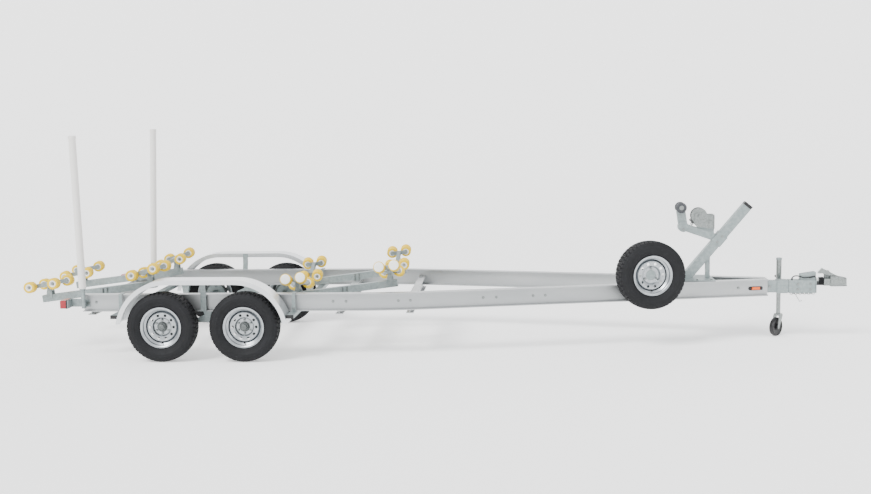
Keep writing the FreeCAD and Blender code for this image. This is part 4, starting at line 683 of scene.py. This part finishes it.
arm_half = 0.0375
arm_middle_y = 0.528
saddle_places = (-1.215, 1.369)
saddle_height = 0.638
arm_slope = math.radians(7.2)
ubolt_radius = 0.006
ubolt_bend = 0.012
ubolt_offset = 0.024
ubolt_end = -0.076
ubolt_nut_height = -0.0545
leg = arm_half + ubolt_radius
ubolt_path = [(0, -leg, ubolt_end), (0, -leg, leg), (0, leg, leg), (0, leg, ubolt_end)]
ubolt = bent_rod(ubolt_radius, ubolt_path, ubolt_bend)
ubolt.name = "arm_ubolt"
ubolt_poses = []
ubolt_nut_poses = []
for x in saddle_places:
    for sign in (-1, 1):
        for along in (-ubolt_offset, ubolt_offset):
            spot = place(x + along, sign * arm_middle_y, saddle_height + along * math.tan(arm_slope))
            ubolt_poses.append(Matrix.Translation(spot))
            for across in (-leg, leg):
                nut_spot = spot + Vector((0, across, ubolt_nut_height))
                ubolt_nut_poses.append(facing(nut_spot, (0, 0, -1)))
finished(copied(ubolt, ubolt_poses), "arm_ubolts", bright_zinc, "frame", "zinc_steel")
finished(copied(hex_bolt, ubolt_nut_poses), "arm_ubolt_nuts", bright_zinc, "frame", "zinc_steel")
bpy.data.objects.remove(ubolt)

# Roller cradles: rocking galvanised frames with side bars and shafts, each on a pin.
# Their rollers are ribbed amber rubber on white nylon hubs, with a nut on each shaft end.

# Moulded amber rubber is a deep yellow with a half-matt sheen that clouds over 40 mm.
amber_rubber = weathered("amber_roller_rubber", "E6C400", "DAB200", patch=0.04, grain=0.004,
                         gloss=(0.42, 0.6), relief=0.0003)
# Moulded nylon hubs are an even, bright white with a soft gloss.
white_nylon = weathered("white_nylon", "F4F4F0", "E9EAE6", patch=0.05, grain=0.003,
                        gloss=(0.3, 0.45), relief=0.0001)
roller_half = 0.044
roller_side = [(0.0345, 0.034), (0.0355, roller_half), (0.0530, roller_half), (0.0570, 0.0420),
               (0.0598, 0.0385), (0.0600, 0.0360), (0.0600, 0.0250), (0.0578, 0.0230),
               (0.0578, 0.0200), (0.0600, 0.0180), (0.0600, 0.0060), (0.0575, 0.0035)]
roller_line = [(radius, -height) for radius, height in roller_side] + roller_side[::-1]
roller = turned_piece(roller_line, 48)
hub_ring = turned_piece([(0.0352, -0.012), (0.0352, 0.0002), (0.0340, 0.0012), (0.0290, 0.0012),
                         (0.0270, -0.0010), (0.0225, -0.0045), (0.0215, -0.0075), (0.0150, -0.0080)], 40)
hub_cap = turned_piece([(0.0345, -0.012), (0.0345, 0.0002), (0.0508, 0.0002), (0.0515, 0.0015),
                        (0.0500, 0.0045), (0.0440, 0.0060), (0.0200, 0.0068)], 40)
shaft_washer = turned_piece([(0.0172, -0.0082), (0.0172, -0.0052)], 24)
shaft_nut = turned_piece([(0.0135, -0.0052), (0.0135, 0.0040), (0.0120, 0.0055)], 6, smooth=20)
shaft_end = joined(shaft_washer, shaft_nut)
for node in sorted(frame["nodes"]):
    if not node.startswith("rollers_"):
        continue
    body = body_of[node]
    dressed(node.replace("rollers", "cradle"), galvanised, edge=0.0015)
    # The four rollers' places are the middles of the node's loose parts.
    centres = []
    whole = bpy.data.objects.new(node, frame["nodes"][node].data.copy())
    bpy.context.scene.collection.objects.link(whole)
    select_only(whole)
    bpy.ops.object.mode_set(mode="EDIT")
    bpy.ops.mesh.select_all(action="SELECT")
    bpy.ops.mesh.remove_doubles(threshold=0.00002)
    bpy.ops.mesh.separate(type="LOOSE")
    bpy.ops.object.mode_set(mode="OBJECT")
    for part in list(bpy.context.selected_objects):
        corners = [Vector(corner) for corner in part.bound_box]
        centres.append(sum(corners, Vector()) / 8)
        bpy.data.objects.remove(part)
    centres.sort(key=lambda centre: abs(centre.y))
    inner = sorted(centres[:2], key=lambda centre: centre.x)
    outer = sorted(centres[2:], key=lambda centre: centre.x)
    roller_poses, ring_poses, cap_poses = [], [], []
    for near, far in zip(inner, outer):
        outward = (far - near).normalized()
        for centre in (near, far):
            roller_poses.append(facing(centre, outward))
            ring_poses.append(facing(centre - outward * roller_half, -outward))
            solid = "front" in node and centre is far
            end_poses = cap_poses if solid else ring_poses
            end_poses.append(facing(centre + outward * roller_half, outward))
    finished(copied(roller, roller_poses), node + "_finish", amber_rubber, body, "roller_rubber", node)
    finished(copied(hub_ring, ring_poses), node + "_hubs", white_nylon, body, "white_plastic")
    finished(copied(shaft_end, ring_poses), node + "_nuts", bright_zinc, body, "zinc_steel")
    if cap_poses:
        finished(copied(hub_cap, cap_poses), node + "_caps", white_nylon, body, "white_plastic")
for pattern in (roller, hub_ring, hub_cap, shaft_end):
    bpy.data.objects.remove(pattern)

# Tongue, jack collar and coupler case: galvanised box sections, one over the other,
# with hex bolts through the cheeks and the case. Bolts ahead of case_start sit on the case.
tongue = dressed("tongue", galvanised, edge=0.003)
case = dressed("coupler_case", galvanised, edge=0.002)
case_start = 6.1
tongue_middle_z = 0.5775
beside_tongue = 0.3
tongue_rows = ((5.90, 0.0), (6.20, -0.028), (6.20, 0.028), (6.335, -0.028), (6.335, 0.028))
tongue_bolts = []
for x, rise in tongue_rows:
    for sign in (-1, 1):
        start = place(x, sign * beside_tongue, tongue_middle_z + rise)
        tongue_bolts.append(seat(tongue if x < case_start else case, start, (0, -sign, 0)))
finished(copied(hex_bolt, tongue_bolts), "tongue_bolts", bright_zinc, "frame", "zinc_steel")

# Brake hose: smooth black rubber, held at both ends, from the tongue's top to a union on
# the brake cylinder's cover. Extruded rubber has a soft, even sheen.
hose_skin = weathered("smooth_black_hose", "1B1C1F", "131416", patch=0.02, grain=0.002,
                      gloss=(0.35, 0.5), relief=0.0001)
dressed("brake_hose", hose_skin)

# Safety chain: links bent and welded from round bar, with a snap hook at the end, all
# plated with zinc. It hangs along under the case.
dressed("safety_chain", bright_zinc)

# Coupler: a zinc-plated sliding neck and pressed ball socket, with a ribbed black
# rubber boot behind it and a folded latch with its knob on top.
coupler = dressed("coupler", bright_zinc, edge=0.0012)
boot_low_x, boot_high_x = axle_middle_x + 6.4255, axle_middle_x + 6.4805
neck_height = 0.632
neck_radius = 0.0365
ring_x = 6.396
painted_shade_sleeve_height = 0.622


def on_boot(face):
    return (boot_low_x < face.center.x < boot_high_x
            and math.hypot(face.center.y, face.center.z - neck_height) > neck_radius)


finished(parted(coupler, on_boot), "coupler_boot", hose_skin, "coupler", "hose_rubber", "coupler")
case_ring = turned_piece([(0.0335, -0.001), (0.0440, 0.0), (0.0455, 0.0015), (0.0455, 0.0045),
                          (0.0435, 0.0062), (0.0335, 0.0062)], 40)
ring_pose = facing(place(ring_x, 0, neck_height), (1, 0, 0))
finished(copied(case_ring, [ring_pose]), "case_ring", hose_skin, "frame", "hose_rubber")
bpy.data.objects.remove(case_ring)
# Painted shade: a black sleeve on the neck past the boot darkens it where shade falls under the boot.
painted_shade_sleeve = turned_piece([(0.0330, 0.0), (0.0400, 0.001), (0.0415, 0.004), (0.0400, 0.008),
                     (0.0375, 0.011), (0.0385, 0.014), (0.0375, 0.017), (0.0365, 0.032),
                     (0.0330, 0.033)], 40)
painted_shade_sleeve_pose = facing(Vector((boot_high_x, 0, painted_shade_sleeve_height)), (1, 0, 0))
finished(copied(painted_shade_sleeve, [painted_shade_sleeve_pose]), "painted_shade_under_boot", hose_skin, "coupler", "hose_rubber")
bpy.data.objects.remove(painted_shade_sleeve)
dressed("coupler_latch", bright_zinc)
latch_foot = place(6.516, 0, 0.6815)
latch_foot_size = (0.062, 0.030, 0.053)
latch_foot_rounding = 0.004
bracket = eased_box(latch_foot, latch_foot_size, latch_foot_rounding)
finished(bracket, "latch_bracket", cast_drum, "coupler", "zinc_steel")
pin_spot = place(6.520, 0, 0.716)
latch_pin = turned_piece([(0.0060, -0.029), (0.0072, -0.028), (0.0072, 0.028), (0.0060, 0.029)], 24)
pin_pose = facing(pin_spot, (0, 1, 0))
finished(copied(latch_pin, [pin_pose]), "latch_pin", bright_zinc, "coupler", "zinc_steel")
bpy.data.objects.remove(latch_pin)

# Winch post and arm: galvanised square tubes, the arm clamped round the raked post by a
# bolted collar and bent up at an elbow to the bow wheels. A black plug closes the post.
post = dressed("winch_post", galvanised, edge=0.003)
dressed("post_cap", black_cap, edge=0.004)
winch_arm = dressed("winch_arm", galvanised, edge=0.002)
post_angle = math.radians(50)
rake = Vector((math.cos(post_angle), 0, math.sin(post_angle)))
collar_middle = place(5.3634, 0, 1.096)
collar_bolt_offset = 0.04
beside_post = 0.4
base_bolt_places = (4.96, 5.11, 5.265)
above_base = 0.9
# The rails run apart behind the nose, and the base plate's bolts follow them.
nose_x = 5.878
nose_half_width = 0.058
rail_spread = 0.2288
bolt_inset = 0.038
elbow_x, elbow_height = 4.980, 1.205
stand_bolts = []
for along in (-collar_bolt_offset, collar_bolt_offset):
    for sign in (-1, 1):
        spot = collar_middle + rake * along
        start = spot + Vector((0, sign * beside_post, 0))
        stand_bolts.append(seat(winch_arm, start, (0, -sign, 0)))
for x in base_bolt_places:
    for sign in (-1, 1):
        reach = nose_half_width + (nose_x - x) * rail_spread - bolt_inset
        stand_bolts.append(seat(post, place(x, sign * reach, above_base), (0, 0, -1)))
for sign in (-1, 1):
    start = place(elbow_x, sign * beside_post, elbow_height)
    stand_bolts.append(seat(winch_arm, start, (0, -sign, 0)))
finished(copied(hex_bolt, stand_bolts), "stand_bolts", bright_zinc, "frame", "zinc_steel")

# Bow wheels: two wheels of moulded grey rubber on one shaft, with zinc-plated hub plates
# and a nut at each end. The rubber is dark and matt, with only a dull highlight.
grey_rubber = weathered("dark_grey_bow_rubber", "45474B", "36383B", patch=0.03, grain=0.003,
                        gloss=(0.5, 0.7), relief=0.0003)
bow = dressed("bow_roller", grey_rubber)
bow_low, bow_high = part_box("bow_roller")
bow_middle = (bow_low + bow_high) / 2
bow_hub_radius = 0.0245
plate_y, shaft_nut_y = 0.078, 0.081


def in_hub(face):
    return math.hypot(face.center.x - bow_middle.x, face.center.z - bow_middle.z) < bow_hub_radius


finished(parted(bow, in_hub), "bow_hubs", bright_zinc, "bow_roller", "zinc_steel", "bow_roller")
hub_plate = turned_piece([(0.0240, 0.0), (0.0240, 0.0022), (0.0225, 0.0034), (0.0190, 0.0034)], 36)
hub_plate.name = "hub_plate"
plate_poses = []
nut_poses = []
for sign in (-1, 1):
    plate_poses.append(facing(bow_middle + Vector((0, sign * plate_y, 0)), (0, sign, 0)))
    nut_poses.append(facing(bow_middle + Vector((0, sign * shaft_nut_y, 0)), (0, sign, 0)))
finished(copied(hub_plate, plate_poses), "bow_hub_plates", bright_zinc, "bow_roller", "zinc_steel")
finished(copied(hex_bolt, nut_poses), "bow_shaft_nuts", bright_zinc, "bow_roller", "zinc_steel")
bpy.data.objects.remove(hub_plate)

# Winch: two pressed and zinc-plated cheeks round a flanged drum, with woven black
# polyester webbing wound on it and led down to a ring, and a hand crank on the far side.

# Woven webbing is a dull black; its 4 mm patches stand for the weave, drawn coarser than real.
webbing = weathered("black_polyester_webbing", "28282B", "1B1B1D", patch=0.004, grain=0.002,
                    gloss=(0.7, 0.9), relief=0.0004)
dressed("winch_frame", bright_zinc)
dressed("winch_drum", bright_zinc)
cheek_y = -0.069
winch_axes = ((5.146, 1.349), (5.262, 1.286))
winch_nuts = [facing(place(x, cheek_y, z), (0, -1, 0)) for x, z in winch_axes]
finished(copied(hex_bolt, winch_nuts), "winch_nuts", bright_zinc, "frame", "zinc_steel")
dressed("strap_roll", webbing)
tail = dressed("strap_tail", webbing)
tail_low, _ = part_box("strap_tail")
ring_length = 0.03
ring = parted(tail, lambda face: face.center.z < tail_low.z + ring_length)
finished(ring, "strap_ring", bright_zinc, "frame", "zinc_steel", "strap_tail")
crank = dressed("winch_crank", bright_zinc)
_, crank_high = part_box("winch_crank")
grip_length = 0.104
grip = parted(crank, lambda face: face.center.y > crank_high.y - grip_length)
finished(grip, "crank_grip", black_cap, "winch_crank", "black_plastic", "winch_crank")

# Spare wheel: the same tyre and wheel, held by three nuts on a galvanised carrier that
# stands out from the right rail, square to it.
dressed("spare_carrier", galvanised, edge=0.002)
spare_centre = wheel_places["spare_tyre"]
rail_angle = math.radians(12.885)
spare_out = Vector((math.sin(rail_angle), -math.cos(rail_angle), 0))
spare_reach = 0.3
spare_pose = facing(spare_centre, spare_out)
finished(copied(tyre, [spare_pose]), "spare_tyre_finish", tyre_rubber, "frame", "tyre", "spare_tyre")
spare_rim = dressed("spare_rim", wheel_steel)
nut_poses = []
for number in range(1, lug_count, 2):
    angle = first_lug_angle + number * math.tau / lug_count
    along = Vector((-spare_out.y, spare_out.x, 0)) * lug_circle * math.cos(angle)
    rise = Vector((0, 0, lug_circle * math.sin(angle)))
    nut_poses.append(seat(spare_rim, spare_centre + along + rise + spare_out * spare_reach, -spare_out))
finished(copied(lug_nut, nut_poses), "spare_nuts", bright_zinc, "frame", "zinc_steel")
spot = spare_centre + Vector((0, 0, -valve_drop)) + spare_out * spare_reach
stem = seat(spare_rim, spot, -spare_out)
valve_pose = facing(stem.translation, spare_out - Vector((0, 0, valve_lean)))
finished(copied(valve, [valve_pose]), "spare_valve", valve_rubber, "frame", "tyre")
for pattern in (lug_nut, valve, tyre):
    bpy.data.objects.remove(pattern)

# Jack: zinc-plated tubes on a swivel bracket, with a cranked handle behind, over a
# pressed fork and a black plastic wheel that turn on a kingpin.
dressed("jack_tube", bright_zinc)
dressed("jack_inner", bright_zinc)
jack_x, jack_y = 6.052, 0.216
_, jack_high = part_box("jack_tube")
lid = turned_piece([(0.0292, -0.022), (0.0318, -0.021), (0.0318, -0.003), (0.0300, 0.0015),
                    (0.0200, 0.0035)], 40)
lid_pose = facing(place(jack_x, jack_y, jack_high.z), (0, 0, 1))
finished(copied(lid, [lid_pose]), "jack_lid", galvanised, "jack", "galvanised_steel")
bpy.data.objects.remove(lid)
crank = dressed("jack_crank", bright_zinc)
handle_low, handle_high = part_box("jack_crank")
knob_length = 0.0695
knob_width = 0.03


def in_knob(face):
    return face.center.y > handle_high.y - knob_length and face.center.z < handle_low.z + knob_width


finished(parted(crank, in_knob), "jack_crank_knob", black_cap, "jack", "black_plastic", "jack_crank")
dressed("caster_fork", bright_zinc, edge=0.001)
dressed("caster_wheel", black_cap)

bpy.data.objects.remove(hex_bolt)
